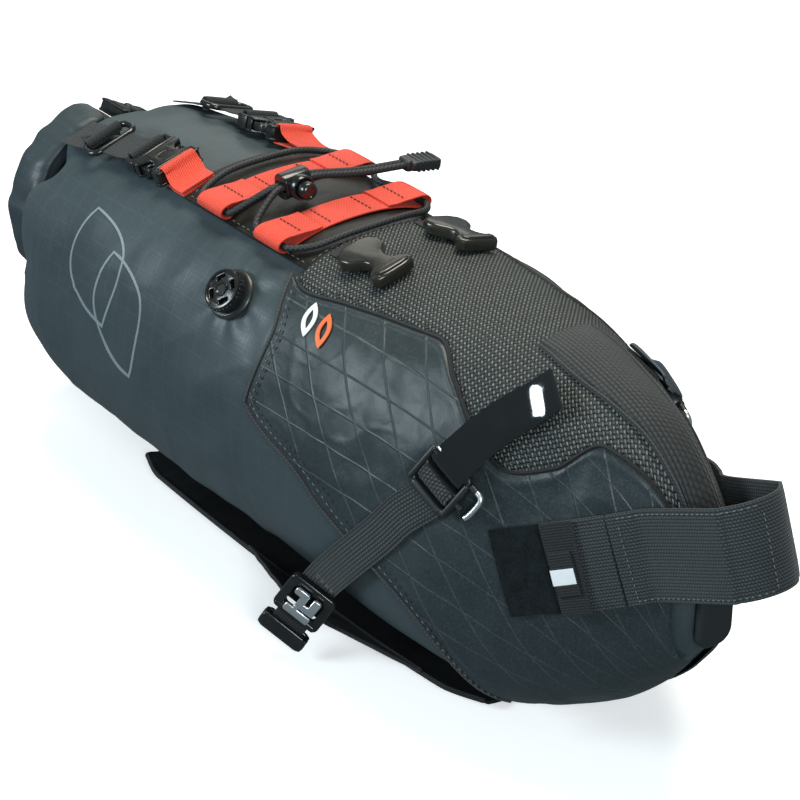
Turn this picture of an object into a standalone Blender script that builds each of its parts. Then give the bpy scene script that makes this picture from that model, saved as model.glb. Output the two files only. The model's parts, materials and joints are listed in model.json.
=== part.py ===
"""Roll-top saddle bag in a strap-on holster.

Frame: +X towards the nose (the seatpost end), +Y to the rider's left, +Z up.
The sling under the belly rests on Z = 0. All working values are millimetres.
"""
import bpy
import bmesh
import math
import numpy as np
from mathutils import Vector

for old in list(bpy.data.objects):
    bpy.data.objects.remove(old, do_unlink=True)

MM = 0.001

# ---------------------------------------------------------------- body sizes
# station x, half width, top z, bottom z, narrowing towards the top
STATIONS = (
    (-246, 43, 144, 46, 0.00),
    (-240, 62, 160, 30, 0.00),
    (-230, 75, 171, 20, 0.00),
    (-182, 83, 177, 13, 0.00),
    (-92, 84, 182, 12, 0.01),
    (-12, 82, 181, 12, 0.04),
    (58, 80, 182, 10, 0.10),
    (100, 74, 183, 9, 0.18),
    (138, 64, 182, 9, 0.26),
    (166, 50, 177, 16, 0.27),
    (194, 36, 168, 31, 0.25),
    (216, 22, 152, 51, 0.20),
    (232, 14, 130, 72, 0.10),
)
SECTION_POWER = 2.35
WALL = 2.0
WEB = 1.4               # webbing thickness
WEB_20 = 21.0           # webbing of the daisy strips and compression straps
WEB_SIDE = 19.5         # side webbing
PANEL_LOW, PANEL_HIGH = 2.0, 3.2
FLAP_LOW, FLAP_HIGH = 0.9, 2.2
POST_GAP_X = 248.0      # seatpost axis crosses the strap here
POST_LOOP_R = 20.0
STRAP_WIDTH = 42.0
CORD_R = 1.7
BUCKLE_W = 28.0
RING_X, RING_Z, RING_R = -262.0, 108.0, 49.0
ROLL_WIDTH, ROLL_THICK = 28.0, 14.0

COLOURS = {
    "drybag": ((0.055, 0.062, 0.070), 0.45),
    "xpac": ((0.020, 0.023, 0.026), 0.35),
    "weave": ((0.030, 0.031, 0.033), 0.80),
    "flap": ((0.028, 0.028, 0.027), 0.55),
    "red_webbing": ((0.62, 0.045, 0.020), 0.75),
    "black_webbing": ((0.014, 0.014, 0.015), 0.75),
    "loop_pile": ((0.012, 0.012, 0.013), 0.95),
    "black_plastic": ((0.012, 0.012, 0.013), 0.30),
    "cord": ((0.022, 0.022, 0.023), 0.70),
    "gloss_film": ((0.008, 0.008, 0.009), 0.12),
    "steel": ((0.60, 0.60, 0.62), 0.20),
    "grey_pad": ((0.42, 0.44, 0.46), 0.55),
}


def material(key):
    """One Principled material per node."""
    colour, rough = COLOURS[key]
    mat = bpy.data.materials.new(key)
    mat.use_nodes = True
    shader = mat.node_tree.nodes["Principled BSDF"]
    shader.inputs["Base Color"].default_value = (*colour, 1.0)
    shader.inputs["Roughness"].default_value = rough
    shader.inputs["Metallic"].default_value = 1.0 if key == "steel" else 0.0
    return mat


# ---------------------------------------------------------------- smooth curves
def smooth_through(knots):
    """Monotone cubic through (x, value) pairs."""
    xs = np.array([k[0] for k in knots], float)
    ys = np.array([k[1] for k in knots], float)
    h = np.diff(xs)
    slope = np.diff(ys) / h
    grad = np.zeros(len(xs))
    grad[0], grad[-1] = slope[0], slope[-1]
    for i in range(1, len(xs) - 1):
        if slope[i - 1] * slope[i] > 0:
            w1 = 2 * h[i] + h[i - 1]
            w2 = h[i] + 2 * h[i - 1]
            grad[i] = (w1 + w2) / (w1 / slope[i - 1] + w2 / slope[i])

    def value(x):
        x = min(max(float(x), xs[0]), xs[-1])
        i = int(min(max(np.searchsorted(xs, x) - 1, 0), len(h) - 1))
        t = (x - xs[i]) / h[i]
        a = (1 + 2 * t) * (1 - t) ** 2
        b = t * (1 - t) ** 2
        c = t * t * (3 - 2 * t)
        d = t * t * (t - 1)
        return a * ys[i] + b * h[i] * grad[i] + c * ys[i + 1] + d * h[i] * grad[i + 1]
    return value


HALF_W, TOP, BOTTOM, NARROW = (
    smooth_through([(s[0], s[k]) for s in STATIONS]) for k in (1, 2, 3, 4))


def skin(x, phi, off=0.0):
    """Point on the bag: phi degrees round from the top, positive towards -Y."""
    half = HALF_W(x) + off
    top, low = TOP(x) + off, BOTTOM(x) - off
    mid, rise = (top + low) / 2, (top - low) / 2
    s, c = math.sin(math.radians(phi)), math.cos(math.radians(phi))
    e = 2 / SECTION_POWER
    across = math.copysign(abs(s) ** e, s)
    up = math.copysign(abs(c) ** e, c)
    return np.array([x, -half * across * (1 - NARROW(x) * up), mid + rise * up])


def unit(v):
    return v / np.linalg.norm(v)


def seat(x, phi, off=0.0, turn=0.0):
    """Origin, forward, across and outward directions on the skin."""
    ahead = skin(x + 2, phi) - skin(x - 2, phi)
    round_ = skin(x, phi + 1.5) - skin(x, phi - 1.5)
    out = unit(np.cross(round_, ahead))
    centre = skin(x, phi) * 1.0
    if np.dot(out, centre - np.array([x, 0, (TOP(x) + BOTTOM(x)) / 2])) < 0:
        out = -out
    ahead = unit(ahead - out * np.dot(ahead, out))
    across = np.cross(out, ahead)
    a = math.radians(turn)
    fwd = ahead * math.cos(a) + across * math.sin(a)
    acr = across * math.cos(a) - ahead * math.sin(a)
    return centre + out * off, fwd, acr, out


# ---------------------------------------------------------------- solid makers
def add(name, verts, faces, key, origin=(0, 0, 0)):
    """A named closed solid; verts and origin in millimetres."""
    origin = np.array(origin, float)
    mesh = bpy.data.meshes.new(name)
    mesh.from_pydata([tuple((np.array(v, float) - origin) * MM) for v in verts], [], faces)
    bm = bmesh.new()
    bm.from_mesh(mesh)
    bmesh.ops.recalc_face_normals(bm, faces=bm.faces)
    if bm.calc_volume(signed=True) < 0:
        bmesh.ops.reverse_faces(bm, faces=bm.faces)
    bm.to_mesh(mesh)
    bm.free()
    obj = bpy.data.objects.new(name, mesh)
    obj.location = Vector(origin * MM)
    bpy.context.scene.collection.objects.link(obj)
    mesh.materials.append(material(key))
    return obj


def cut(obj, cutter, operation="DIFFERENCE"):
    """Boolean with a hidden cutter that is not a node."""
    mod = obj.modifiers.new("cut", "BOOLEAN")
    mod.operation = operation
    mod.solver = "EXACT"
    mod.object = cutter
    cutter.hide_render = True
    cutter.display_type = "WIRE"


def shell_between(name, outer, inner, key):
    """Closed sheet from two (m, n, 3) grids."""
    m, n = outer.shape[:2]
    verts = list(outer.reshape(-1, 3)) + list(inner.reshape(-1, 3))
    size = m * n
    faces = []
    for i in range(m - 1):
        for j in range(n - 1):
            a, b, c, d = i * n + j, i * n + j + 1, (i + 1) * n + j + 1, (i + 1) * n + j
            faces.append((a, b, c, d))
            faces.append((a + size, d + size, c + size, b + size))
    rim = [i * n for i in range(m)] + [(m - 1) * n + j for j in range(1, n)]
    rim += [i * n + n - 1 for i in range(m - 2, -1, -1)] + [j for j in range(n - 2, 0, -1)]
    for k, a in enumerate(rim):
        b = rim[(k + 1) % len(rim)]
        faces.append((a, b, b + size, a + size))
    return add(name, verts, faces, key)


def belly_bulge(x, phi):
    """The holster stands a little off the bag where its belly turns up to the nose."""
    return 1.5 * math.exp(-((x - 154) / 17) ** 2) * math.exp(-((abs(phi) - 145) / 30) ** 2)


def patch(name, where, m, n, low, high, key):
    """Sheet lying on the skin; where(s, t) gives (x, phi)."""
    grid = [[where(i / m, j / n) for j in range(n + 1)] for i in range(m + 1)]
    outer = np.array([[skin(x, p, high + belly_bulge(x, p)) for x, p in row] for row in grid])
    inner = np.array([[skin(x, p, low + belly_bulge(x, p)) for x, p in row] for row in grid])
    return shell_between(name, outer, inner, key)


def loft(name, rings, key, origin=(0, 0, 0)):
    """Closed solid through rings of equal count, flat at both ends."""
    n = len(rings[0])
    verts = [p for ring in rings for p in ring]
    faces = [tuple(range(n))]
    for i in range(len(rings) - 1):
        for j in range(n):
            a, b = i * n + j, i * n + (j + 1) % n
            faces.append((a, a + n, b + n, b))
    last = (len(rings) - 1) * n
    faces.append(tuple(last + j for j in reversed(range(n))))
    return add(name, verts, faces, key, origin)


def prism(name, outline, low, high, frame, key, origin=None):
    """Outline of (forward, across) pairs raised between two heights on a frame."""
    centre, fwd, acr, out = frame
    rings = [[centre + fwd * u + acr * v + out * h for u, v in outline] for h in (low, high)]
    return loft(name, rings, key, centre if origin is None else origin)


def rounded(length, width, radius, steps=3):
    """Rounded rectangle centred on the origin."""
    pts = []
    for cx, cy, start in ((1, 1, 0), (-1, 1, 90), (-1, -1, 180), (1, -1, 270)):
        for k in range(steps + 1):
            a = math.radians(start + 90 * k / steps)
            pts.append((cx * (length / 2 - radius) + radius * math.cos(a),
                        cy * (width / 2 - radius) + radius * math.sin(a)))
    return pts


def shifted(outline, du, dv=0.0):
    return [(u + du, v + dv) for u, v in outline]


def circle(radius, count=20):
    return [(radius * math.cos(2 * math.pi * k / count),
             radius * math.sin(2 * math.pi * k / count)) for k in range(count)]


def sweep(name, points, sides, outs, profile, key, origin=(0, 0, 0)):
    """Profile of (side, out) pairs carried along points."""
    rings = [[p + s * a + o * b for a, b in profile] for p, s, o in zip(points, sides, outs)]
    return loft(name, rings, key, origin)


def flat_profile(width, thick):
    w, t = width / 2, thick / 2
    return [(-w, -t), (w, -t), (w, t), (-w, t)]


def skin_ribbon(name, route, off, width, thick, key, count=12):
    """Webbing laid along a route of (x, phi, extra offset) knots."""
    xs = smooth_through([(i, r[0]) for i, r in enumerate(route)])
    ps = smooth_through([(i, r[1]) for i, r in enumerate(route)])
    es = smooth_through([(i, r[2]) for i, r in enumerate(route)])
    ts = np.linspace(0, len(route) - 1, count + 1)
    pts, outs = [], []
    for t in ts:
        centre, _, _, out = seat(xs(t), ps(t), off + es(t))
        pts.append(centre)
        outs.append(out)
    sides = []
    for i, out in enumerate(outs):
        run = pts[min(i + 1, count)] - pts[max(i - 1, 0)]
        side = unit(np.cross(out, run))
        sides.append(side)
        outs[i] = unit(np.cross(run, side))
    return sweep(name, pts, sides, outs, flat_profile(width, thick), key)


def catmull(points, per_span, closed=False):
    """Smooth curve through hand-chosen points."""
    pts = [np.array(p, float) for p in points]
    n = len(pts)
    out = []
    for i in range(n if closed else n - 1):
        if closed:
            a, b, c, d = pts[i - 1], pts[i], pts[(i + 1) % n], pts[(i + 2) % n]
        else:
            a, b, c, d = pts[max(i - 1, 0)], pts[i], pts[i + 1], pts[min(i + 2, n - 1)]
        for k in range(per_span):
            t = k / per_span
            out.append(0.5 * (2 * b + (c - a) * t + (2 * a - 5 * b + 4 * c - d) * t * t
                              + (3 * b - a - 3 * c + d) * t ** 3))
    if not closed:
        out.append(pts[-1])
    return out


def tube(name, points, radius, key, sides=8, closed=False, origin=(0, 0, 0)):
    """Round rod along points."""
    n = len(points)
    rings = []
    normal = None
    for i, p in enumerate(points):
        if closed:
            run = unit(points[(i + 1) % n] - points[i - 1])
        else:
            run = unit(points[min(i + 1, n - 1)] - points[max(i - 1, 0)])
        if normal is None:
            pick = np.array([0, 0, 1.0]) if abs(run[2]) < 0.8 else np.array([1.0, 0, 0])
            normal = unit(np.cross(run, pick))
        normal = unit(normal - run * np.dot(normal, run))
        other = np.cross(run, normal)
        rings.append([p + radius * (normal * math.cos(a) + other * math.sin(a))
                      for a in np.linspace(0, 2 * math.pi, sides, endpoint=False)])
    if not closed:
        return loft(name, rings, key, origin)
    verts = [v for ring in rings for v in ring]
    faces = []
    for i in range(n):
        k = (i + 1) % n
        for j in range(sides):
            j2 = (j + 1) % sides
            faces.append((i * sides + j, k * sides + j, k * sides + j2, i * sides + j2))
    return add(name, verts, faces, key, origin)


# ---------------------------------------------------------------- dry bag
def section(x, off, count=28):
    return [skin(x, 360 * k / count, off) for k in range(count)]


BODY_X = [-246, -243.5, -240, -235, -230, -215, -182, -137, -92, -52, -12, 23, 58, 86,
          110, 130, 150, 166, 182, 198, 213, 224, 232]
drybag = loft("drybag_shell", [section(x, 0.0) for x in BODY_X], "drybag")
hollow_x = [-244, -241.5, -238, -233, -228] + BODY_X[5:-2] + [222, 229]
hollow = loft("cut_hollow", [section(x, -WALL) for x in hollow_x], "drybag")
mouth = prism("cut_mouth", rounded(30, 34, 4), -4.5, 4.5,
              (np.array([-244.0, 0, 60.5]), np.array([1.0, 0, 0]),
               np.array([0, 1.0, 0]), np.array([0, 0, 1.0])), "drybag")
cut(drybag, hollow)
cut(drybag, mouth)


def ring_point(psi, radius=RING_R):
    """Point of the closure loop, psi degrees from the top towards -Y."""
    a = math.radians(psi)
    out = np.array([0, -math.sin(a), math.cos(a)])
    return np.array([RING_X, 0, RING_Z]) + out * radius, out


def ring_ribbon(name, start, end, width, thick, key, count, power=None):
    pts, outs = [], []
    for psi in np.linspace(start, end, count + 1):
        p, out = ring_point(psi)
        pts.append(p)
        outs.append(out)
    along = [np.array([1.0, 0, 0])] * len(pts)
    if power:
        profile = []
        for k in range(14):
            a = 2 * math.pi * k / 14
            c, s = math.cos(a), math.sin(a)
            profile.append((width / 2 * math.copysign(abs(c) ** power, c),
                            thick / 2 * math.copysign(abs(s) ** power, s)))
    else:
        profile = flat_profile(width, thick)
    return sweep(name, pts, along, outs, profile, key)


ring_ribbon("roll_closure", 6, 281, ROLL_WIDTH, ROLL_THICK, "drybag", 24, power=0.7)
ring_ribbon("roll_strap_right", 5.2, -3.0, 22, WEB, "black_webbing", 3)
ring_ribbon("roll_strap_left", -52.0, -78.2, 22, WEB, "black_webbing", 5)

# ---------------------------------------------------------------- buckles
FEMALE_LEN, MALE_BASE, PRONG = 24.0, 9.0, 15.0
HOUSING_T, TONGUE_T = 8.4, 4.4


def female_buckle(name, frame, scale=1.0):
    """Housing open at the rear with a window on each flank; its rear edge is at u = 0."""
    k = scale
    body = prism(name, shifted(rounded(FEMALE_LEN * k, BUCKLE_W * k, 3 * k), FEMALE_LEN * k / 2),
                 -HOUSING_T / 2, HOUSING_T / 2, frame, "black_plastic")
    bore = prism("cut_" + name, rounded(2 * (PRONG + 1.2) * k, (BUCKLE_W - 5) * k, 1.0),
                 -TONGUE_T / 2 - 0.35, TONGUE_T / 2 + 0.35, frame, "black_plastic")
    cut(body, bore)
    flank = prism("cut2_" + name, shifted(rounded(9 * k, BUCKLE_W * k + 8, 1.5), 9.5 * k),
                  -TONGUE_T / 2 - 0.25, TONGUE_T / 2 + 0.25, frame, "black_plastic")
    cut(body, flank)
    return body


def male_buckle(name, frame, scale=1.0):
    """Base bar with two sprung side tongues and a centre guide."""
    k = scale
    half, inner = BUCKLE_W * k / 2, (BUCKLE_W * k) / 2 - 2.9
    gap = 0.5
    comb = [(-MALE_BASE * k, -half), (-gap, -half), (-gap, -inner), (PRONG * k * 0.55, -inner),
            (PRONG * k * 0.75, -inner), (PRONG * k, -inner + 3), (PRONG * k, -inner + 5),
            (2.5, -inner + 4), (2.5, -2), (PRONG * k * 0.9, -1.2), (PRONG * k * 0.9, 1.2),
            (2.5, 2), (2.5, inner - 4), (PRONG * k, inner - 5), (PRONG * k, inner - 3),
            (PRONG * k * 0.75, inner), (PRONG * k * 0.55, inner), (-gap, inner), (-gap, half),
            (-MALE_BASE * k, half)]
    body = prism(name, comb, -TONGUE_T / 2, TONGUE_T / 2, frame, "black_plastic")
    slot = prism("cut_" + name, shifted(rounded(3.6, (BUCKLE_W - 7) * k, 1.2), -MALE_BASE * k / 2),
                 -6, 6, frame, "black_plastic")
    cut(body, slot)
    return body


p, out = ring_point(-25)
tangent = np.array([0, math.cos(math.radians(25)), -math.sin(math.radians(25))])
roll_frame = (p, -tangent, np.array([1.0, 0, 0]), out)
female_buckle("roll_buckle_female", (p + tangent * 4, -tangent, np.array([1.0, 0, 0]), out), 0.86)
male_buckle("roll_buckle_male", (p + tangent * 4, -tangent, np.array([1.0, 0, 0]), out), 0.86)

SIDES = (("right", 1), ("left", -1))
BUCKLE_X, BUCKLE_PHI, BUCKLE_OFF = -150.0, 19.5, 6.0
for side, sign in SIDES:
    frame = seat(BUCKLE_X, sign * BUCKLE_PHI, BUCKLE_OFF)
    female_buckle("top_buckle_female_" + side, frame)
    male_buckle("top_buckle_male_" + side, frame)
    skin_ribbon("buckle_tab_" + side,
                ((-124.4, sign * 20.0, 5.2), (-117, sign * 20.4, 3.8), (-109, sign * 20.6, 3.3)),
                0.8, WEB_20, WEB, "red_webbing", 5)
    skin_ribbon("tail_strap_" + side,
                ((-160.6, sign * 19.9, 5.4), (-171, sign * 20.3, 4.4), (-181.6, sign * 20.7, 4.2)),
                0.8, WEB_20, WEB, "black_webbing", 6)
    centre, fwd, acr, out = seat(-192, sign * 21.4, 5.6)
    loop = [centre + fwd * u + acr * v for u, v in rounded(13, 27, 5, 4)]
    tube("tail_ring_" + side, loop, 1.7, "black_plastic", 8, closed=True,
         origin=centre + fwd * 6.5)
    skin_ribbon("tail_anchor_" + side,
                ((-201.6, sign * 22.0, 3.6), (-212, sign * 22.6, 2.4), (-226, sign * 23, 1.4)),
                0.8, WEB_20, WEB, "drybag", 5)

# ---------------------------------------------------------------- purge valve
VALVE_X, VALVE_PHI = -38.0, 49.0
frame = seat(VALVE_X, VALVE_PHI, 0.5)
valve_base = prism("valve_base", circle(12.5, 28), 0.2, 2.4, frame, "black_plastic")
neck = prism("cut_valve", circle(6.0, 20), -5, 9, frame, "black_plastic")
cut(valve_base, neck)
cap = prism("valve_cap", circle(10.6, 32), 2.8, 8.4, frame, "black_plastic", frame[0])
for k in range(4):
    a = math.radians(45 + 90 * k)
    centre, fwd, acr, out = frame
    spot = centre + 6.6 * (fwd * math.cos(a) + acr * math.sin(a))
    radial = fwd * math.cos(a) + acr * math.sin(a)
    slot = prism("cut_cap_%d" % k, rounded(2.2, 5.0, 0.6, 2), 6.4, 12,
                 (spot, radial, np.cross(out, radial), out), "black_plastic")
    cut(cap, slot)

# ---------------------------------------------------------------- holster panels
WEAVE_EDGE = smooth_through([(-13, 29), (4, 34), (30, 31), (65, 28), (88, 27.5), (109, 40),
                             (129, 53), (150, 62), (170, 55), (186, 37), (205, 36), (228, 42)])
LOWER_EDGE = smooth_through([(-13, 60), (-2, 78), (42, 88), (80, 96), (118, 108), (140, 126),
                             (152, 150), (163, 170), (228, 170)])
REAR_EDGE = smooth_through([(0, -10), (0.45, 3), (1, -1)])
EDGE_GAP = 2.2
for side, sign in SIDES:
    def side_where(s, t, sign=sign):
        x = REAR_EDGE(t) * (1 - s) + 228 * s
        high = WEAVE_EDGE(x) + EDGE_GAP
        return x, sign * (high + (LOWER_EDGE(x) - high) * t)
    patch("side_panel_" + side, side_where, 20, 13, PANEL_LOW, PANEL_HIGH, "xpac")


def top_where(s, t):
    x = -4 + 232 * s
    return x, (WEAVE_EDGE(x) - 0.2) * (2 * t - 1)


patch("top_panel", top_where, 20, 10, PANEL_LOW, PANEL_HIGH, "weave")


def flap_where(s, t):
    x = -108 + 102.5 * s
    return x, 27.0 * (2 * t - 1) + 0.0 * s


patch("top_flap", flap_where, 10, 8, FLAP_LOW, FLAP_HIGH, "flap")
skin_ribbon("flap_rear_binding", ((-111.5, -26, 0), (-111.5, 0, 0), (-111.5, 26, 0)),
            1.6, 4.4, 1.8, "flap", 10)

GUSSET = smooth_through([(132, 12.5), (165, 17), (194, 17), (228, 26)])


def gusset_where(s, t):
    x = 132 + 97 * s
    return x, GUSSET(x) * (2 * t - 1)


patch("nose_gusset", gusset_where, 12, 4, 4.0, 5.4, "black_webbing")

NOSE = (np.array([233.0, 0, 103.0]), np.array([0, 0, 1.0]), np.array([0, 1.0, 0]),
        np.array([1.0, 0, 0]))
prism("nose_pad", rounded(54, 20, 8, 4), 0.4, 5.0, NOSE, "grey_pad")

# ---------------------------------------------------------------- red daisy strips
STRIPS = (("rear", -82.0), ("front", -35.0))
STRIP_PHI = 24.5
for label, x in STRIPS:
    turns = [(STRIP_PHI - 8, 6.4), (STRIP_PHI - 4.5, 7.4), (STRIP_PHI - 1, 9.2),
             (STRIP_PHI + 1.6, 9.4), (STRIP_PHI + 3.0, 6.8), (STRIP_PHI + 2.0, 3.9),
             (STRIP_PHI - 1.5, 3.3), (STRIP_PHI - 7, 3.1)]
    flat = [(p, 3.1) for p in (12, 6, 0, -6, -12)]
    knots = turns + flat + [(-p, h) for p, h in reversed(turns)]
    line = catmull([skin(x, p, h) for p, h in knots], 2)
    sides = [np.array([1.0, 0, 0])] * len(line)
    outs = []
    for i in range(len(line)):
        run = line[min(i + 1, len(line) - 1)] - line[max(i - 1, 0)]
        outs.append(unit(np.cross(run, sides[i])))
    sweep("daisy_strip_" + label, line, sides, outs, flat_profile(WEB_20, 1.2), "red_webbing")

# ---------------------------------------------------------------- shock cord and lock
LOOP_H = 6.2
centre, fwd, acr, out = seat(-58.2, 6.2, 12.6, 0)


def strand(shift):
    """Straight run of the cord through the lock, far side first."""
    return [centre + acr * a + fwd * shift for a in (12, 4, -4, -12)]


def reversed_strand(shift):
    return strand(shift)[::-1]


rear_run = [
    (-67, 23.2, 8.2), (-70, 25.2, 6.8), (-76, 25.5, LOOP_H), (-88, 25.5, LOOP_H),
    (-95, 25.0, LOOP_H), (-101, 19, 5.4), (-104, 8, 5.2), (-104, -8, 5.2), (-101, -19, 5.4),
    (-95, -25.0, LOOP_H), (-88, -25.5, LOOP_H), (-76, -25.5, LOOP_H), (-69, -25.0, LOOP_H),
    (-60, -22, 5.2), (-54, -22, 5.2), (-47, -25.0, LOOP_H), (-41, -25.5, LOOP_H),
    (-29, -25.5, LOOP_H), (-22, -25.0, LOOP_H), (-13, -19, 5.4), (-9, -8, 5.2), (-9, 8, 5.2),
    (-13, 19, 5.4), (-22, 25.0, LOOP_H), (-29, 25.5, LOOP_H), (-41, 25.5, LOOP_H),
    (-47, 25.0, 6.8), (-51.5, 22.0, 8.6),
]
TAB_SPOT = skin(-57, -30, 14.0) + np.array([4.0, 8.0, 2.5])
tab_run = unit(TAB_SPOT - strand(0.0)[0])
tab_side = unit(np.cross(np.array([0, 0, 1.0]), tab_run))
STRAND_GAP = 1.95
neck = TAB_SPOT - tab_run * 10.0
away = tab_side * (1 if np.dot(tab_side, fwd) > 0 else -1) * STRAND_GAP
half_way = (neck + strand(0.0)[0]) / 2 - np.array([0, 0, 1.2])
knots = [neck - away, half_way - away] + strand(-STRAND_GAP) + [skin(*r) for r in rear_run]
knots += reversed_strand(STRAND_GAP) + [half_way + away, neck + away]
tube("shock_cord", catmull(knots, 2), CORD_R, "cord", 6)
lock_frame = (centre, acr, out, fwd)
lock = prism("cord_lock_body", rounded(15, 13, 5.5, 4), -5.6, 9.0, lock_frame, "black_plastic")
for k, dv in enumerate((-STRAND_GAP, STRAND_GAP)):
    hole = prism("cut_lock_%d" % k, circle(CORD_R + 0.7, 14), -12, 12,
                 (centre + fwd * dv, fwd, out, acr), "black_plastic")
    cut(lock, hole)
prism("cord_pull_tab", rounded(19, 13, 3, 3), -3, 3,
      (TAB_SPOT, tab_run, tab_side, np.cross(tab_run, tab_side)), "black_plastic")
well = prism("cut_lock_well", circle(4.95, 20), 5.2, 16, lock_frame, "black_plastic")
cut(lock, well)
prism("cord_lock_button", circle(4.6, 20), 8.5, 14.4, lock_frame, "black_plastic", centre)

# ---------------------------------------------------------------- rail hooks
RAIL_X, RAIL_PHI = 22.0, 14.5
ANVIL = [(-16, -5), (-13, -10.5), (-8, -12), (-3, -10.5), (1, -6.5), (5, -5.2), (9, -6.5),
         (12, -10.5), (16, -12), (19, -10), (20, -5), (20, 5), (19, 10), (16, 12), (12, 10.5),
         (9, 6.5), (5, 5.2), (1, 6.5), (-3, 10.5), (-8, 12), (-13, 10.5), (-16, 5)]
for side, sign in SIDES:
    frame = seat(RAIL_X, sign * RAIL_PHI, 2.4, 0)
    hook = prism("rail_hook_" + side, ANVIL, 1.6, 9.0, frame, "black_plastic",
                 frame[0] - frame[1] * 15.0 + frame[3] * 3.0)
    slot = prism("cut_hook_" + side, shifted(rounded(4.0, 12, 1.5), -11), -8, 16, frame,
                 "black_plastic")
    cut(hook, slot)

# ---------------------------------------------------------------- side compression
SIDE_RUN = ((118, 80.0, 1.6), (109, 84.5, 0.4), (98, 91, 0), (80, 102, 0), (62, 114.5, 0),
            (52, 122, 0.8))
TAB_RUN = ((132.5, 60.0, 2.4), (137, 53.5, 0.8), (143, 45, 0), (150, 36, 0.8), (156, 29, 3.2))


def beside(frame, du, dv=0.0, dn=0.0):
    centre, fwd, acr, out = frame
    return (centre + fwd * du + acr * dv + out * dn, fwd, acr, out)


WING_TOPS = {}
for side, sign in SIDES:
    skin_ribbon("side_webbing_" + side, [(x, sign * p, e) for x, p, e in SIDE_RUN],
                4.4, WEB_SIDE, WEB, "black_webbing", 14)
    skin_ribbon("side_tab_" + side, [(x, sign * p, e) for x, p, e in TAB_RUN],
                4.8, WEB_SIDE + 1, 1.6, "gloss_film", 10)
    a, b = skin(118, sign * 80, 5), skin(134, sign * 57, 5)
    centre, fwd0, acr0, out = seat(126.0, sign * 71, 8.0)
    run = b - a
    run = unit(run - out * np.dot(run, out))
    frame = (centre, run, np.cross(out, run), out)
    ladder = prism("ladder_lock_" + side, rounded(24, 27, 5, 3), -2.2, 2.2, frame,
                   "black_plastic", centre + run * 9)
    for k, du in enumerate((-6.2, 4.4)):
        window = prism("cut_ladder_%d_%s" % (k, side), shifted(rounded(5.4, 20.5, 1.4), du),
                       -8, 8, frame, "black_plastic")
        cut(ladder, window)
    tube("ladder_pin_" + side, [centre + run * 9.6 - frame[2] * 16.1 * sign + out * 1.0,
                                centre + run * 9.6 - frame[2] * 20.4 * sign + out * 1.0,
                                centre + run * 4.0 - frame[2] * 21.0 * sign + out * 1.0,
                                centre - run * 3.0 - frame[2] * 20.4 * sign + out * 1.0],
         1.3, "steel", 8, origin=centre + run * 9)

    # hook buckle at the lower end, hanging clear of the belly
    end, _, _, end_out = seat(52, sign * 122, 5.2)
    run = unit(np.array([-0.45, -0.30 * sign, -0.84]))
    out = np.array([0.54, -0.84 * sign, 0.01])
    out = unit(out - run * np.dot(run, out))
    centre = end + run * 13.6 + out * 1.6
    frame = (centre, run, np.cross(out, run), out)
    plate = prism("hook_frame_" + side, rounded(23, 26, 3, 2), -2.0, 2.0, frame,
                  "black_plastic", centre)
    window = prism("cut_hook_frame_" + side, rounded(13.5, 17, 2, 2), -8, 8, frame, "black_plastic")
    cut(plate, window)
    hook_line = [(-7.5, -7), (-7.5, 7), (-4.0, 7), (-4.0, -3.0), (2.0, -3.0), (2.0, 7),
                 (7.5, 7), (7.5, 2.5), (5.4, 2.5), (5.4, -7)]
    prism("side_hook_" + side, hook_line, 2.6, 4.6, frame, "steel",
          centre - run * 7.5 + out * 3.6)
    start = centre + run * 12.0
    prism("hook_tail_" + side, rounded(14, 18, 2, 2), -0.7, 0.7,
          (start + run * 7.2, run, frame[2], out), "black_webbing")
    slide_at = (start + run * 9.2, run, frame[2], out)
    slide = prism("tail_slide_" + side, rounded(9, 26, 3, 2), -3.2, 3.2, slide_at,
                  "black_plastic")
    window = prism("cut_slide_" + side, rounded(40, 19.4, 0.6, 2), -1.2, 1.2, slide_at,
                   "black_plastic")
    cut(slide, window)
    WING_TOPS[side] = (centre + run * 7.0 - out * 4.4, frame[2], out)

# ---------------------------------------------------------------- belly sling
SLING_X0, SLING_X1 = -160.0, 132.0
SLING_HALF = smooth_through([(-160, 44), (-130, 54), (20, 58), (110, 52), (132, 40)])


def sling_z(y):
    """Flat along the middle, turning up towards both edges."""
    return 7.5 * (max(abs(y) - 15.0, 0.0) / 43.0) ** 2.0


outer, inner = [], []
for i in range(14):
    x = SLING_X0 + (SLING_X1 - SLING_X0) * i / 13
    row_o, row_i = [], []
    for j in range(9):
        y = SLING_HALF(x) * (2 * j / 8 - 1)
        row_i.append((x, y, sling_z(y)))
        row_o.append((x, y, sling_z(y) + 1.8))
    outer.append(row_o)
    inner.append(row_i)
shell_between("belly_sling", np.array(outer), np.array(inner), "black_webbing")

for side, sign in SIDES:
    apex, across, out = WING_TOPS[side]
    if across[0] < 0:
        across = -across
    rows_o, rows_i = [], []
    for i in range(9):
        u = i / 8
        x_low = -40 + 138 * u
        low = np.array([x_low, -sign * (SLING_HALF(x_low) + 1.0),
                        sling_z(SLING_HALF(x_low)) + 3.2])
        high = apex + across * (18 * u - 9)
        row_o, row_i = [], []
        for j in range(6):
            p = low * (1 - j / 5) + high * (j / 5)
            row_i.append(p - out * 1.3)
            row_o.append(p)
        rows_o.append(row_o)
        rows_i.append(row_i)
    shell_between("sling_wing_" + side, np.array(rows_o), np.array(rows_i), "black_webbing")

# ---------------------------------------------------------------- seatpost strap
STRAP_LEAN = math.radians(20)
STRAP_UP = np.array([-math.sin(STRAP_LEAN), 0, math.cos(STRAP_LEAN)])
STRAP_Z0, STRAP_SLOPE = 97.0, 0.44


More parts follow.
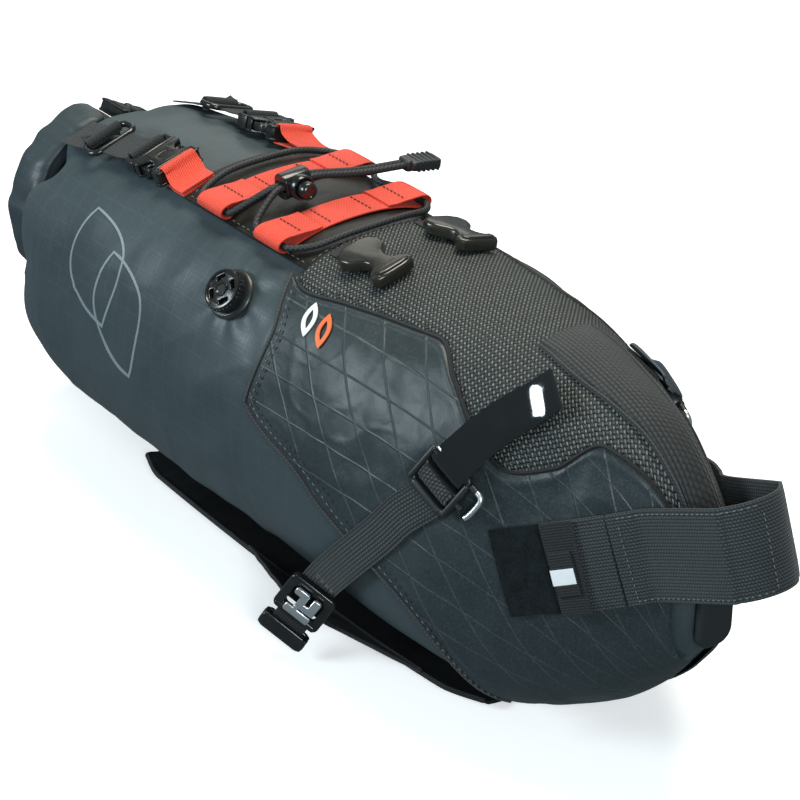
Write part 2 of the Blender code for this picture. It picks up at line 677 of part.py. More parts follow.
def flank(x, off):
    """Point on the -Y flank under the strap's centre line, pushed out by off."""
    z = STRAP_Z0 + STRAP_SLOPE * (x - 162)
    best = min((abs(skin(x, p, off)[2] - z), p) for p in np.linspace(40, 130, 361))
    return skin(x, best[1], off)


def strap_line(start, layer, reach):
    """Strap centre line from the -Y flank round the post to the +Y flank."""
    near = [flank(x, 7.3 + layer) for x in reach]
    arc = []
    for a in np.linspace(-68, 68, 11):
        x = POST_GAP_X + POST_LOOP_R * math.cos(math.radians(a))
        y = POST_LOOP_R * math.sin(math.radians(a))
        arc.append(np.array([x, y, STRAP_Z0 + STRAP_SLOPE * (x - 162)]))
    far = [p * np.array([1, -1, 1]) for p in reversed(near)]
    return near + arc + far if start == "all" else near


def strap_sheet(name, line, width, thick, key, origin=(0, 0, 0)):
    outs = []
    for i in range(len(line)):
        run = line[min(i + 1, len(line) - 1)] - line[max(i - 1, 0)]
        outs.append(unit(np.cross(run, STRAP_UP)))
    return sweep(name, line, [STRAP_UP] * len(line), outs, flat_profile(width, thick), key,
                 origin)


main = strap_line("all", 0.0, (207.5, 214, 222))
main = main[:-3] + [p * np.array([1, -1, 1]) for p in (flank(x, 7.3) for x in (222, 210, 196, 180, 166))]
strap_sheet("seatpost_strap", main, STRAP_WIDTH, 2.2, "black_webbing")
PEEL_PIVOT = flank(207.05, 7.3 + 1.2)
strap_sheet("strap_end", [flank(x, 7.3) for x in (183, 190, 198, 206.6)], STRAP_WIDTH, 2.2,
            "black_webbing", PEEL_PIVOT)
strap_sheet("strap_tag", [flank(x, 10.3) for x in (187, 192, 197)], 15.0, 1.2, "black_webbing",
            PEEL_PIVOT)
strap_sheet("loop_patch", [flank(x, 4.5) for x in (160, 168, 176, 184, 192, 199)], STRAP_WIDTH - 1,
            1.4, "loop_pile")
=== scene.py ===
"""Looks of the roll-top saddle bag, in the frame of its CAD model.

+X towards the nose, +Y to the rider's left, +Z up. Working values are millimetres.
"""
import bpy
import bmesh
import json
import math
import numpy as np
from mathutils import Matrix, Vector

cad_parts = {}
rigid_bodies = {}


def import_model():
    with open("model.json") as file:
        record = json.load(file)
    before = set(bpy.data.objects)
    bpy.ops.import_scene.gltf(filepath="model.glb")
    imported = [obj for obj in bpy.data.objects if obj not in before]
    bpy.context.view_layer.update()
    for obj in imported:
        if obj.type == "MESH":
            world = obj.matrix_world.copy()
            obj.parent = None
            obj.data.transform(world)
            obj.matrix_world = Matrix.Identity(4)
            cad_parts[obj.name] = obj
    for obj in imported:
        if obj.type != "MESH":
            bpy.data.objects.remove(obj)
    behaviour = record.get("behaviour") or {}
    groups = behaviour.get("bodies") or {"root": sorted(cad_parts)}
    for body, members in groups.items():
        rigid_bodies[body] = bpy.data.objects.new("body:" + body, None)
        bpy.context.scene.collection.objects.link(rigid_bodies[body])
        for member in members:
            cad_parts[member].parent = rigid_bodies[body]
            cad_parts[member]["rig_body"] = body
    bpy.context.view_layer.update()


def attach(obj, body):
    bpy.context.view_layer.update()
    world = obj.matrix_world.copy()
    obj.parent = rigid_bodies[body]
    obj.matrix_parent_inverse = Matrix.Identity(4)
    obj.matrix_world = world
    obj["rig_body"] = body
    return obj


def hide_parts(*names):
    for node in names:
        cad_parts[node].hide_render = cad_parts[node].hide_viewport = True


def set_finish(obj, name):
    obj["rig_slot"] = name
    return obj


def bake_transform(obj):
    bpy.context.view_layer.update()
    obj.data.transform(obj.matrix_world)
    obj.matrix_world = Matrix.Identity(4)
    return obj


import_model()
MM = 0.001
SIDES = (("right", 1), ("left", -1))

# ---------------------------------------------------------------- camera, floor and light
AZIMUTH, ELEVATION, DISTANCE = math.radians(52.99), math.radians(28.85), 1.20014
AIM = Vector((0.08392, -0.05533, 0.149))
back = Vector((math.sin(AZIMUTH) * math.cos(ELEVATION), -math.cos(AZIMUTH) * math.cos(ELEVATION),
               math.sin(ELEVATION)))
lens = bpy.data.cameras.new("camera")
lens.sensor_width = 36.0
lens.lens = 120.04
camera = bpy.data.objects.new("camera", lens)
camera.location = AIM + back * DISTANCE
camera.rotation_euler = back.to_track_quat("Z", "Y").to_euler()
bpy.context.scene.collection.objects.link(camera)
bpy.context.scene.camera = camera
bpy.context.scene.view_settings.view_transform = "Standard"


def softbox(name, place, aim, size, power, colour):
    """A square area light turned towards a point."""
    data = bpy.data.lights.new(name, "AREA")
    data.shape = "RECTANGLE"
    data.size, data.size_y = size
    data.energy = power
    data.color = colour
    lamp = bpy.data.objects.new(name, data)
    lamp.location = place
    lamp.rotation_euler = (Vector(place) - Vector(aim)).to_track_quat("Z", "Y").to_euler()
    bpy.context.scene.collection.objects.link(lamp)


softbox("light_over", (-0.2, 0.35, 1.7), (0, 0, 0.1), (1.1, 0.7), 29, (1.0, 0.95, 0.82))
softbox("light_flank", (-0.75, -1.5, 0.85), (0.0, 0, 0.08), (0.7, 0.5), 22, (0.80, 0.93, 1.0))
softbox("light_nose", (1.5, -0.75, 0.9), (0.1, 0, 0.1), (0.5, 0.5), 18, (0.86, 0.95, 1.0))
softbox("light_behind", (-1.2, 0.9, 0.9), (0.0, 0, 0.12), (1.0, 0.8), 3, (1.0, 0.97, 0.9))
world = bpy.data.worlds.new("studio")
world.use_nodes = True
nodes, links = world.node_tree.nodes, world.node_tree.links
ambient, backdrop = nodes["Background"], nodes.new("ShaderNodeBackground")
ambient.inputs["Color"].default_value = (0.74, 0.92, 1.0, 1.0)
ambient.inputs["Strength"].default_value = 0.20
backdrop.inputs["Color"].default_value = (1.0, 1.0, 1.0, 1.0)
seen = nodes.new("ShaderNodeMixShader")
links.new(nodes.new("ShaderNodeLightPath").outputs["Is Camera Ray"], seen.inputs[0])
links.new(ambient.outputs[0], seen.inputs[1])
links.new(backdrop.outputs[0], seen.inputs[2])
links.new(seen.outputs[0], nodes["World Output"].inputs["Surface"])
bpy.context.scene.world = world


# ---------------------------------------------------------------- finishes
class Wire:
    """One output among a finish's nodes, used like a number."""

    def __init__(self, finish, socket):
        self.finish, self.socket = finish, socket

    def maths(self, kind, *others, swap=False):
        values = (*others, self) if swap else (self, *others)
        return self.finish.node("Math", {"operation": kind}, dict(enumerate(values)))

    def __add__(self, other):
        return self.maths("ADD", other)

    def __sub__(self, other):
        return self.maths("SUBTRACT", other)

    def __rsub__(self, other):
        return self.maths("SUBTRACT", other, swap=True)

    def __mul__(self, other):
        return self.maths("MULTIPLY", other)

    def __truediv__(self, other):
        return self.maths("DIVIDE", other)

    __radd__, __rmul__ = __add__, __mul__


class Finish:
    """One material: its shader, and a short way to add nodes."""

    def __init__(self, name, slot, colour, rough, **fixed):
        self.slot = slot
        self.mat = bpy.data.materials.new(name)
        self.mat.use_nodes = True
        self.tree = self.mat.node_tree
        self.shader = self.tree.nodes["Principled BSDF"]
        self.set("Base Color", colour)
        self.set("Roughness", rough)
        for key, value in fixed.items():
            self.set(key.replace("_", " ").title().replace("Ior", "IOR"), value)

    def set(self, key, value):
        self.feed(self.shader.inputs[key], value)

    def feed(self, socket, value):
        if isinstance(value, Wire):
            self.tree.links.new(value.socket, socket)
        elif isinstance(value, tuple) and socket.type == "RGBA":
            socket.default_value = (*value, 1.0)
        else:
            socket.default_value = value

    def node(self, kind, settings=None, inputs=None, out=0):
        made = self.tree.nodes.new("ShaderNode" + kind)
        for key, value in (settings or {}).items():
            if key == "stops":
                ramp = made.color_ramp
                while len(ramp.elements) < len(value):
                    ramp.elements.new(0.5)
                for stop, (at, shade) in zip(ramp.elements, value):
                    stop.position = at
                    grey = (shade,) * 3
                    stop.color = (*(shade if isinstance(shade, tuple) else grey), 1.0)
            else:
                setattr(made, key, value)
        for key, value in (inputs or {}).items():
            self.feed(made.inputs[key], value)
        return Wire(self, made.outputs[out])

    def place(self):
        """Object coordinates, in metres."""
        return self.node("TexCoord", out=3)

    def cloth(self):
        """Distances along and across the cloth, in millimetres."""
        uv = self.node("TexCoord", out=2)
        return (self.node("SeparateXYZ", {}, {0: uv}, 0), self.node("SeparateXYZ", {}, {0: uv}, 1))

    def noise(self, scale, detail=3.0, rough=0.5, vector=None, distortion=0.0):
        return self.node("TexNoise", {}, {"Vector": vector or self.place(), "Scale": scale,
                                          "Detail": detail, "Roughness": rough,
                                          "Distortion": distortion})

    def ramp(self, value, *stops):
        return self.node("ValToRGB", {"stops": stops}, {0: value})

    def mix(self, amount, first, second):
        return self.node("Mix", {"data_type": "RGBA"}, {0: amount, 6: first, 7: second}, out=2)

    def blend_in(self, kind, amount, first, second):
        return self.node("Mix", {"data_type": "RGBA", "blend_type": kind},
                         {0: amount, 6: first, 7: second}, out=2)

    def bump(self, height, strength, depth, under=None):
        inputs = {"Strength": strength, "Distance": depth, "Height": height}
        if under:
            inputs["Normal"] = under
        self.relief = self.node("Bump", {}, inputs)
        self.set("Normal", self.relief)
        return self.relief


def fraction(wire):
    """The part of a wire's value after its whole number."""
    return wire.maths("FRACT")


def hump(wire):
    """0 at whole numbers and 1 half way between them."""
    return (fraction(wire) * math.pi).maths("SINE")


def line_mask(wire, width):
    """1 on a line at each half number, 0 away from it; width is a share of the pitch."""
    away = (fraction(wire) - 0.5).maths("ABSOLUTE")
    return 1.0 - (away / width).maths("MINIMUM", 1.0)


def coated_cloth(name, slot, deep, pale, rough, grid=1.15):
    """Smooth coated fabric with a faint thread grid showing through."""
    f = Finish(name, slot, pale, rough, Specular_IOR_Level=0.34)
    u, v = f.cloth()
    threads = (hump(u / grid) + hump(v / grid)) * 0.5
    square = line_mask(u / (grid * 5), 0.12).maths("MAXIMUM", line_mask(v / (grid * 5), 0.12))
    patchy = f.noise(14, 4, 0.55)
    grain = f.noise(520, 3, 0.6)
    shade = f.mix(f.ramp(patchy, (0.3, 0.0), (0.7, 1.0)), deep, pale)
    lighter = tuple(min(1.0, c * 1.35 + 0.004) for c in pale)
    shade = f.mix(square * 0.16 + (threads - 0.5) * 0.10 + (grain - 0.5) * 0.5, shade, lighter)
    f.set("Base Color", shade)
    f.set("Roughness", (patchy - 0.5) * 0.22 + (grain - 0.5) * 0.16 + rough)
    soft = f.bump(f.noise(60, 5, 0.55, distortion=0.4), 0.30, 0.0011)
    f.bump(threads * 0.5 + grain * 0.9 + square * 0.35, 0.22, 0.00022, soft)
    return f


def webbing(name, slot, dark, light, rib=1.15, pick=1.5, rough=0.72, edge=None, bold=0.30,
            picked=0.55):
    """Flat woven tape: cords run along it and picks cross them in slanting pairs."""
    f = Finish(name, slot, dark, rough, Specular_IOR_Level=0.35)
    f.set("Sheen Weight", 0.12)
    u, v = f.cloth()
    row = v / rib
    side = row.maths("FLOOR").maths("MODULO", 2.0) * 0.5
    cord = hump(row)
    pick_at = hump(u / pick + side + fraction(row) * 0.30)
    height = cord * (pick_at * picked + (1 - picked))
    grain = f.noise(900, 2, 0.6)
    shade = f.mix(f.ramp(height + (grain - 0.5) * 0.5, (0.15, 0.0), (0.95, 1.0)), dark, light)
    worn = f.noise(45, 3, 0.5)
    shade = f.blend_in("MULTIPLY", 0.45, shade, f.ramp(worn, (0.3, 0.62), (0.7, 1.0)))
    if edge:
        sewn = ((v.maths("ABSOLUTE") - edge).maths("ABSOLUTE") / 0.9).maths("MINIMUM", 1.0)
        shade = f.mix((1.0 - sewn) * 0.6, shade, tuple(c * 0.4 for c in dark))
    f.set("Base Color", shade)
    f.set("Roughness", (grain - 0.5) * 0.2 + rough)
    f.bump(height + grain * 0.25, bold + 0.35, 0.0005)
    return f


def moulded_plastic(name, slot, colour, rough, wear=0.05, coat=0.25):
    """Acetal with a fine moulded grain and a little handling wear."""
    f = Finish(name, slot, colour, rough, Coat_Weight=coat, Coat_Roughness=0.16)
    grain = f.noise(1400, 2, 0.5)
    cloud = f.noise(90, 4, 0.6)
    pale = tuple(c + wear * 0.35 for c in colour)
    f.set("Base Color", f.mix(f.ramp(cloud, (0.45, 0.0), (0.8, 0.6)), colour, pale))
    f.set("Roughness", (cloud - 0.5) * 0.22 + (grain - 0.5) * 0.08 + rough)
    f.bump(grain * 0.5 + cloud * 0.7, 0.12, 0.0002)
    return f


DRYBAG = coated_cloth("coated_ripstop", "coated_ripstop", (0.036, 0.051, 0.057),
                      (0.050, 0.068, 0.075), 0.42, 2.3)
# The rolled mouth reuses the dry bag's cloth at about 0.7 times its brightness: painted shade.
ROLL_PAINTED_SHADE = coated_cloth("coated_ripstop_roll", "coated_ripstop", (0.025, 0.037, 0.043),
                    (0.037, 0.050, 0.056), 0.42, 2.3)
FLAP = coated_cloth("flap_cloth", "flap_fabric", (0.0060, 0.0058, 0.0042), (0.011, 0.0105, 0.008),
                    0.44, 0.9)
BINDING = webbing("binding_tape", "flap_fabric", (0.0035, 0.0035, 0.0035), (0.012, 0.012, 0.012),
                  0.8, 0.9, 0.7)
RED = webbing("red_webbing", "red_webbing", (0.62, 0.030, 0.014), (0.95, 0.095, 0.040), 1.15, 1.5,
              0.62, bold=0.25)
BLACK = webbing("black_webbing", "black_webbing", (0.004, 0.0045, 0.005), (0.018, 0.021, 0.023),
                1.25, 1.7, 0.66)
COARSE = webbing("coarse_webbing", "black_webbing", (0.0025, 0.0035, 0.004),
                 (0.060, 0.074, 0.076), 1.7, 1.9, 0.6, edge=8.0, bold=0.6,
                 picked=0.88)
STRAPPING = webbing("strap_webbing", "black_webbing", (0.008, 0.011, 0.012),
                    (0.060, 0.072, 0.077), 1.5, 1.5, 0.66, picked=0.75)
SLING = coated_cloth("sling_cloth", "black_webbing", (0.003, 0.0035, 0.004), (0.006, 0.007, 0.008),
                     0.55, 0.8)
WING = coated_cloth("wing_cloth", "black_webbing", (0.014, 0.018, 0.018), (0.026, 0.031, 0.031),
                    0.65, 0.8)
PLASTIC = moulded_plastic("black_acetal", "black_plastic", (0.008, 0.009, 0.0088), 0.25, 0.04)
OLIVE = moulded_plastic("dark_acetal_core", "black_plastic", (0.016, 0.0145, 0.010), 0.28, 0.03)
MATT = moulded_plastic("black_moulding", "black_plastic", (0.015, 0.0175, 0.018), 0.38, 0.04, 0.08)


def laminate():
    """Sailcloth laminate: raised yarns cross in diamonds under a crinkled clear film."""
    f = Finish("laminate_cloth", "laminate", (0.02, 0.024, 0.027), 0.32, Specular_IOR_Level=0.34)
    u, v = f.cloth()
    yarn = None
    for degrees, pitch in ((46.0, 21.0), (-2.0, 16.6)):
        a = math.radians(degrees)
        line = line_mask((v * math.cos(a) - u * math.sin(a)) / pitch + 40.0, 0.036)
        yarn = line if yarn is None else yarn.maths("MAXIMUM", line)
    fine = (hump(u / 0.9) + hump(v / 0.9)) * 0.5
    crinkle = f.noise(110, 4, 0.55, distortion=0.3)
    cloud = f.noise(16, 4, 0.6)
    grain = f.noise(950, 2, 0.7)
    shade = f.mix(f.ramp(cloud, (0.35, 0.0), (0.75, 1.0)), (0.019, 0.028, 0.031),
                  (0.033, 0.044, 0.048))
    shade = f.mix(yarn * 0.60 + (fine - 0.5) * 0.10 + (grain - 0.5) * 1.6, shade,
                  (0.070, 0.084, 0.088))
    f.set("Base Color", shade)
    f.set("Roughness", (crinkle - 0.5) * 0.24 + (grain - 0.5) * 0.30 + 0.40)
    soft = f.bump(crinkle * 0.22 + f.noise(21, 2, 0.45, distortion=0.25) * 2.6, 0.6, 0.0034)
    f.bump(yarn + fine * 0.22 + grain * 0.2, 0.55, 0.00042, soft)
    return f


def basket():
    """Coarse basket weave with light flecks on its crowns."""
    f = Finish("ballistic_cloth", "ballistic_weave", (0.03, 0.03, 0.03), 0.62)
    u, v = f.cloth()
    pitch = 1.7
    a, b = (u + v) * 0.707 / pitch, (u - v) * 0.707 / pitch
    over = (a.maths("FLOOR") + b.maths("FLOOR")).maths("MODULO", 2.0).maths("ABSOLUTE")
    warp = hump(b) * (hump(a) * 0.45 + 0.55)
    weft = hump(a) * (hump(b) * 0.45 + 0.55)
    height = over * warp + (1.0 - over) * weft
    split = hump(b * 3.0) * over + hump(a * 3.0) * (1.0 - over)
    grain = f.noise(800, 2, 0.7)
    cloud = f.noise(25, 3, 0.5)
    crown = f.ramp(height + (grain - 0.5) * 0.9, (0.52, 0.0), (1.0, 1.0))
    shade = f.mix(crown, (0.0045, 0.0065, 0.007), (0.21, 0.24, 0.225))
    shade = f.mix((1.0 - over) * 0.75, shade, (0.006, 0.0075, 0.0075))
    shade = f.blend_in("MULTIPLY", 0.5, shade, f.ramp(cloud, (0.3, 0.6), (0.7, 1.0)))
    f.set("Base Color", shade)
    f.set("Roughness", (grain - 0.5) * 0.25 + 0.52)
    f.bump(height + split * 0.15 + grain * 0.2, 0.8, 0.0007)
    return f


def pile():
    """Short fuzzy loops."""
    f = Finish("loop_pile", "loop_pile", (0.002, 0.003, 0.004), 0.95)
    f.set("Sheen Weight", 0.05)
    f.set("Specular IOR Level", 0.15)
    curls = f.noise(620, 5, 0.75, distortion=1.5)
    clumps = f.noise(190, 3, 0.6)
    f.set("Base Color", f.mix(f.ramp(curls * 0.7 + clumps * 0.4, (0.42, 0.0), (0.75, 1.0)),
                              (0.0015, 0.0025, 0.003), (0.014, 0.022, 0.025)))
    f.bump(curls + clumps * 0.6, 0.9, 0.0011)
    return f


def braid():
    """Braided sleeve of an elastic cord; its UV runs along and round the cord."""
    f = Finish("braided_cord", "shock_cord", (0.02, 0.02, 0.021), 0.6)
    u, v = f.cloth()
    one, two = hump(u / 2.4 + v), hump(u / 2.4 - v)
    height = one.maths("MAXIMUM", two)
    grain = f.noise(1500, 2, 0.6)
    f.set("Base Color", f.mix(f.ramp(height + (grain - 0.5) * 0.4, (0.5, 0.0), (1.0, 1.0)),
                              (0.003, 0.0035, 0.004), (0.024, 0.026, 0.028)))
    f.set("Roughness", (grain - 0.5) * 0.2 + 0.58)
    f.bump(height + grain * 0.2, 0.6, 0.0004)
    return f


def steel():
    """Worn polished steel with fine scratches."""
    f = Finish("polished_steel", "polished_steel", (0.78, 0.79, 0.80), 0.34, Metallic=1.0)
    cloud = f.noise(120, 4, 0.6)
    scratch = f.noise(300, 4, 0.7, distortion=3.0)
    f.set("Base Color", f.mix(cloud, (0.72, 0.73, 0.75), (0.92, 0.93, 0.94)))
    f.set("Roughness", (scratch - 0.5) * 0.25 + 0.36)
    f.bump(scratch, 0.10, 0.0002)
    return f


def film():
    """Glossy coating over webbing whose ribs print through a little."""
    f = Finish("gloss_film", "gloss_film", (0.006, 0.0065, 0.007), 0.10, Coat_Weight=1.0,
               Coat_Roughness=0.04)
    v = f.cloth()[1]
    cloud = f.noise(60, 3, 0.5)
    ribs = hump(v / 2.4)
    f.set("Base Color", f.mix(cloud, (0.002, 0.0025, 0.003), (0.005, 0.006, 0.007)))
    f.set("Roughness", (cloud - 0.5) * 0.06 + 0.08)
    f.bump(ribs * 0.3 + cloud, 0.04, 0.0002)
    return f


def plain(name, slot, colour, rough, depth=0.0003, scale=500, **fixed):
    """Even finish with grain, for thread, tape, print and rubber."""
    f = Finish(name, slot, colour, rough, **fixed)
    grain = f.noise(scale, 3, 0.6)
    cloud = f.noise(scale / 12, 3, 0.5)
    f.set("Base Color", f.mix(grain * 0.5 + cloud * 0.5, tuple(c * 0.78 for c in colour),
                              tuple(min(1.0, c * 1.2) for c in colour)))
    f.set("Roughness", (grain - 0.5) * 0.25 + rough)
    f.bump(grain, 0.4, depth)
    return f


LAMINATE, BASKET, PILE, BRAID, STEEL, FILM = (
    laminate(), basket(), pile(), braid(), steel(), film())
THREAD = plain("pale_thread", "black_webbing", (0.13, 0.14, 0.145), 0.7, 0.0002, 900)
DARK_THREAD = plain("black_thread", "black_webbing", (0.005, 0.005, 0.006), 0.55, 0.0002, 900)
RED_THREAD = plain("maroon_bartack", "red_webbing", (0.035, 0.010, 0.010), 0.6, 0.0002, 900)
SILVER = plain("silver_print", "coated_ripstop", (0.22, 0.26, 0.275), 0.42, 0.0001, 400)
WHITE_MARK = plain("white_print", "laminate", (0.80, 0.82, 0.82), 0.5, 0.0001, 400)
ORANGE_MARK = plain("orange_print", "laminate", (0.80, 0.15, 0.035), 0.5, 0.0001, 400)
TAPE = plain("reflective_tape", "black_webbing", (0.86, 0.90, 0.92), 0.30, 0.0001, 600)
PAD = plain("grey_foam", "grey_pad", (0.30, 0.34, 0.37), 0.6, 0.0004, 300)
PAD_COVER = plain("pad_cover", "grey_pad", (0.012, 0.015, 0.017), 0.75, 0.0004, 300)
GUSSET = webbing("gusset_tape", "black_webbing", (0.005, 0.006, 0.0065), (0.030, 0.035, 0.037),
                 1.9, 2.4, 0.6, bold=0.45)
PIPING = webbing("piping_tape", "black_webbing", (0.004, 0.005, 0.0055), (0.040, 0.045, 0.048),
                 0.9, 1.9, 0.6)
FLOOR = plain("studio_floor", "grey_pad", (0.98, 0.985, 0.99), 0.85, 0.00001, 3,
              Emission_Strength=0.45)
FLOOR.set("Emission Color", (1.0, 1.0, 1.0))

# ---------------------------------------------------------------- the bag's surface
# station x, half width, top z, bottom z, narrowing towards the top
STATIONS = (
    (-246, 43, 144, 46, 0.00), (-240, 62, 160, 30, 0.00), (-230, 75, 171, 20, 0.00),
    (-182, 83, 177, 13, 0.00), (-92, 84, 182, 12, 0.01), (-12, 82, 181, 12, 0.04),
    (58, 80, 182, 10, 0.10), (100, 74, 183, 9, 0.18), (138, 64, 182, 9, 0.26),
    (166, 50, 177, 16, 0.27), (194, 36, 168, 31, 0.25), (216, 22, 152, 51, 0.20),
    (232, 14, 130, 72, 0.10),
)
SECTION_POWER = 2.35


def smooth_through(knots):
    """Monotone cubic through (x, value) pairs, for a number or an array."""
    xs, ys = np.array(knots, float).T
    h = np.diff(xs)
    slope = np.diff(ys) / h
    grad = np.zeros(len(xs))
    grad[0], grad[-1] = slope[0], slope[-1]
    for i in range(1, len(xs) - 1):
        if slope[i - 1] * slope[i] > 0:
            w1, w2 = 2 * h[i] + h[i - 1], h[i] + 2 * h[i - 1]
            grad[i] = (w1 + w2) / (w1 / slope[i - 1] + w2 / slope[i])

    def value(x):
        x = np.clip(np.asarray(x, float), xs[0], xs[-1])
        i = np.clip(np.searchsorted(xs, x) - 1, 0, len(h) - 1)
        t = (x - xs[i]) / h[i]
        return ((1 + 2 * t) * (1 - t) ** 2 * ys[i] + t * (1 - t) ** 2 * h[i] * grad[i]
                + t * t * (3 - 2 * t) * ys[i + 1] + t * t * (t - 1) * h[i] * grad[i + 1])
    return value


HALF_W, TOP, BOTTOM, NARROW = (
    smooth_through([(s[0], s[k]) for s in STATIONS]) for k in (1, 2, 3, 4))


def skin(x, phi, off=0.0):
    """Points on the bag: phi degrees round from the top, positive towards -Y."""
    x, phi, off = np.broadcast_arrays(np.asarray(x, float), phi, off)
    half, top, low = HALF_W(x) + off, TOP(x) + off, BOTTOM(x) - off
    s, c = np.sin(np.radians(phi)), np.cos(np.radians(phi))
    e = 2 / SECTION_POWER
    across = np.sign(s) * np.abs(s) ** e
    up = np.sign(c) * np.abs(c) ** e
    return np.stack([x, -half * across * (1 - NARROW(x) * up),
                     (top + low) / 2 + (top - low) / 2 * up], -1)


def unit(v):
    """Directions of length 1."""
    return v / np.linalg.norm(v, axis=-1, keepdims=True)


def outward(x, phi):
    """Outward directions of the surface."""
    ahead = skin(np.asarray(x) + 2.0, phi) - skin(np.asarray(x) - 2.0, phi)
    round_ = skin(x, np.asarray(phi) + 1.5) - skin(x, np.asarray(phi) - 1.5)
    out = unit(np.cross(round_, ahead))
    middle = skin(x, phi)
    middle[..., 1] = 0
    middle[..., 2] = (TOP(x) + BOTTOM(x)) / 2
    side = np.sum(out * (skin(x, phi) - middle), -1, keepdims=True)
    return np.where(side < 0, -out, out)


def seat(x, phi, off=0.0, turn=0.0):
    """Centre, forward, across and outward directions of a spot on the bag."""
    ahead = skin(x + 2, phi) - skin(x - 2, phi)
    out = outward(x, phi)
    ahead = unit(ahead - out * np.dot(ahead, out))
    across = np.cross(out, ahead)
    a = math.radians(turn)
    return (skin(x, phi) + out * off, ahead * math.cos(a) + across * math.sin(a),
            across * math.cos(a) - ahead * math.sin(a), out)


def matrix_of(at, lift=0.0):
    """Places a piece drawn in metres about the origin onto a spot."""
    centre, fwd, acr, out = at
    move = Matrix.Identity(4)
    for row in range(3):
        move[row][0], move[row][1], move[row][2] = fwd[row], acr[row], out[row]
        move[row][3] = (centre[row] + out[row] * lift) * MM
    return move


def ripple(points, length, count, seed):
    """Smooth repeatable unevenness of cloth, about -1 to 1, from crossing bent waves."""
    draw = np.random.default_rng(seed)
    total = np.zeros(points.shape[:-1])
    for _ in range(count):
        way, twist = unit(draw.normal(size=3)), unit(draw.normal(size=3))
        near, phase = length * draw.uniform(0.7, 1.5), draw.uniform(0, 6.28, 2)
        bend = 1.1 * np.sin(points @ twist * 3.9 / near + phase[1])
        total = total + np.sin(points @ way * 6.28 / near + phase[0] + bend)
    return total / math.sqrt(count)


def crease(points, length, count, seed):
    """Narrow ridges, 0 to 1, that wander over the cloth."""
    wave = ripple(points, length, count, seed)
    return np.exp(-(wave / 0.16) ** 2)


def bell(value, middle, width):
    """1 at the middle, falling smoothly to 0 over the width."""
    return np.exp(-((value - middle) / width) ** 2)


def rise(value, start, end):
    """0 before start, 1 after end, smooth between them."""
    t = np.clip((value - start) / (end - start), 0, 1)
    return t * t * (3 - 2 * t)


# ---------------------------------------------------------------- piece makers
def own_name(obj, stands_for):
    """A visual piece is not called exactly what its CAD node is."""
    base = obj.name.split(".")[0]
    if base in stands_for:
        obj.name = obj.data.name = base + "_look"


def alone(obj):
    """Makes one object the only one selected, and active."""
    bpy.ops.object.select_all(action="DESELECT")
    obj.select_set(True)
    bpy.context.view_layer.objects.active = obj


def done(obj, finish, body="bag", stands_for=(), angle=40):
    """Finish, soft shading by angle, what it stands for, and what it rides on."""
    own_name(obj, stands_for)
    obj.data.materials.clear()
    obj.data.materials.append(finish.mat)
    alone(obj)
    bpy.ops.object.shade_smooth_by_angle(angle=math.radians(angle))
    if stands_for:
        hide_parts(*stands_for)
    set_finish(obj, finish.slot)
    if body:
        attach(obj, body)
    return obj


def mesh_piece(name, verts, faces, finish, uv=None, weld=False, **rest):
    """A piece from millimetre points, with its cloth distances as UV."""
    mesh = bpy.data.meshes.new(name)
    mesh.from_pydata((np.asarray(verts) * MM).tolist(), [], faces)
    if uv is not None:
        layer = mesh.uv_layers.new(name="cloth")
        at = np.empty(len(mesh.loops), int)
        mesh.loops.foreach_get("vertex_index", at)
        layer.data.foreach_set("uv", np.asarray(uv, float)[at].ravel())
    obj = bpy.data.objects.new(name, mesh)
    bpy.context.scene.collection.objects.link(obj)
    bm = bmesh.new()
    bm.from_mesh(mesh)
    if weld:
        bmesh.ops.remove_doubles(bm, verts=bm.verts, dist=1e-6)
    bmesh.ops.recalc_face_normals(bm, faces=bm.faces)
    if bm.calc_volume(signed=True) < 0:
        bmesh.ops.reverse_faces(bm, faces=bm.faces)
    bm.to_mesh(mesh)
    bm.free()
    return done(obj, finish, **rest)


def declare_sheet(outer):
    """Works out cross products over the outer face's grid cells, and keeps none of them."""
    one = np.cross(outer[1:, :-1] - outer[:-1, :-1], outer[:-1, 1:] - outer[:-1, :-1])
    two = np.cross(outer[1:, :-1] - outer[1:, 1:], outer[:-1, 1:] - outer[1:, 1:])


def grid_quads(m, n, start=0):
    """Quads of a grid of m rows of n points."""
    i, j = np.meshgrid(np.arange(m - 1), np.arange(n - 1), indexing="ij")
    a = (start + i * n + j).ravel()
    return np.stack([a, a + 1, a + n + 1, a + n], 1)


def cloth_shell(name, outer, inner, finish, uv=None, held=None, rests_on=(), **rest):
    """Closed cloth with an outer and an inner face, from two (m, n, 3) grids."""
    m, n = outer.shape[:2]
    size = m * n
    faces = np.vstack([grid_quads(m, n), grid_quads(m, n, size)[:, ::-1]]).tolist()
    rim = ([i * n for i in range(m)] + [(m - 1) * n + j for j in range(1, n)]
           + [i * n + n - 1 for i in range(m - 2, -1, -1)] + list(range(n - 2, 0, -1)))
    faces += [[a, b, b + size, a + size] for a, b in zip(rim, rim[1:] + rim[:1])]
    if uv is None:
        us, vs = distances(outer[:, n // 2]), distances(outer[m // 2])
        uv = np.stack(np.meshgrid(us, vs - vs[-1] / 2, indexing="ij"), -1)
    flat = uv.reshape(-1, 2)
    verts = np.vstack([outer.reshape(-1, 3), inner.reshape(-1, 3)])
    obj = mesh_piece(name, verts, faces, finish, uv=np.vstack([flat, flat]), **rest)
    if held:
        declare_sheet(outer)
    return obj


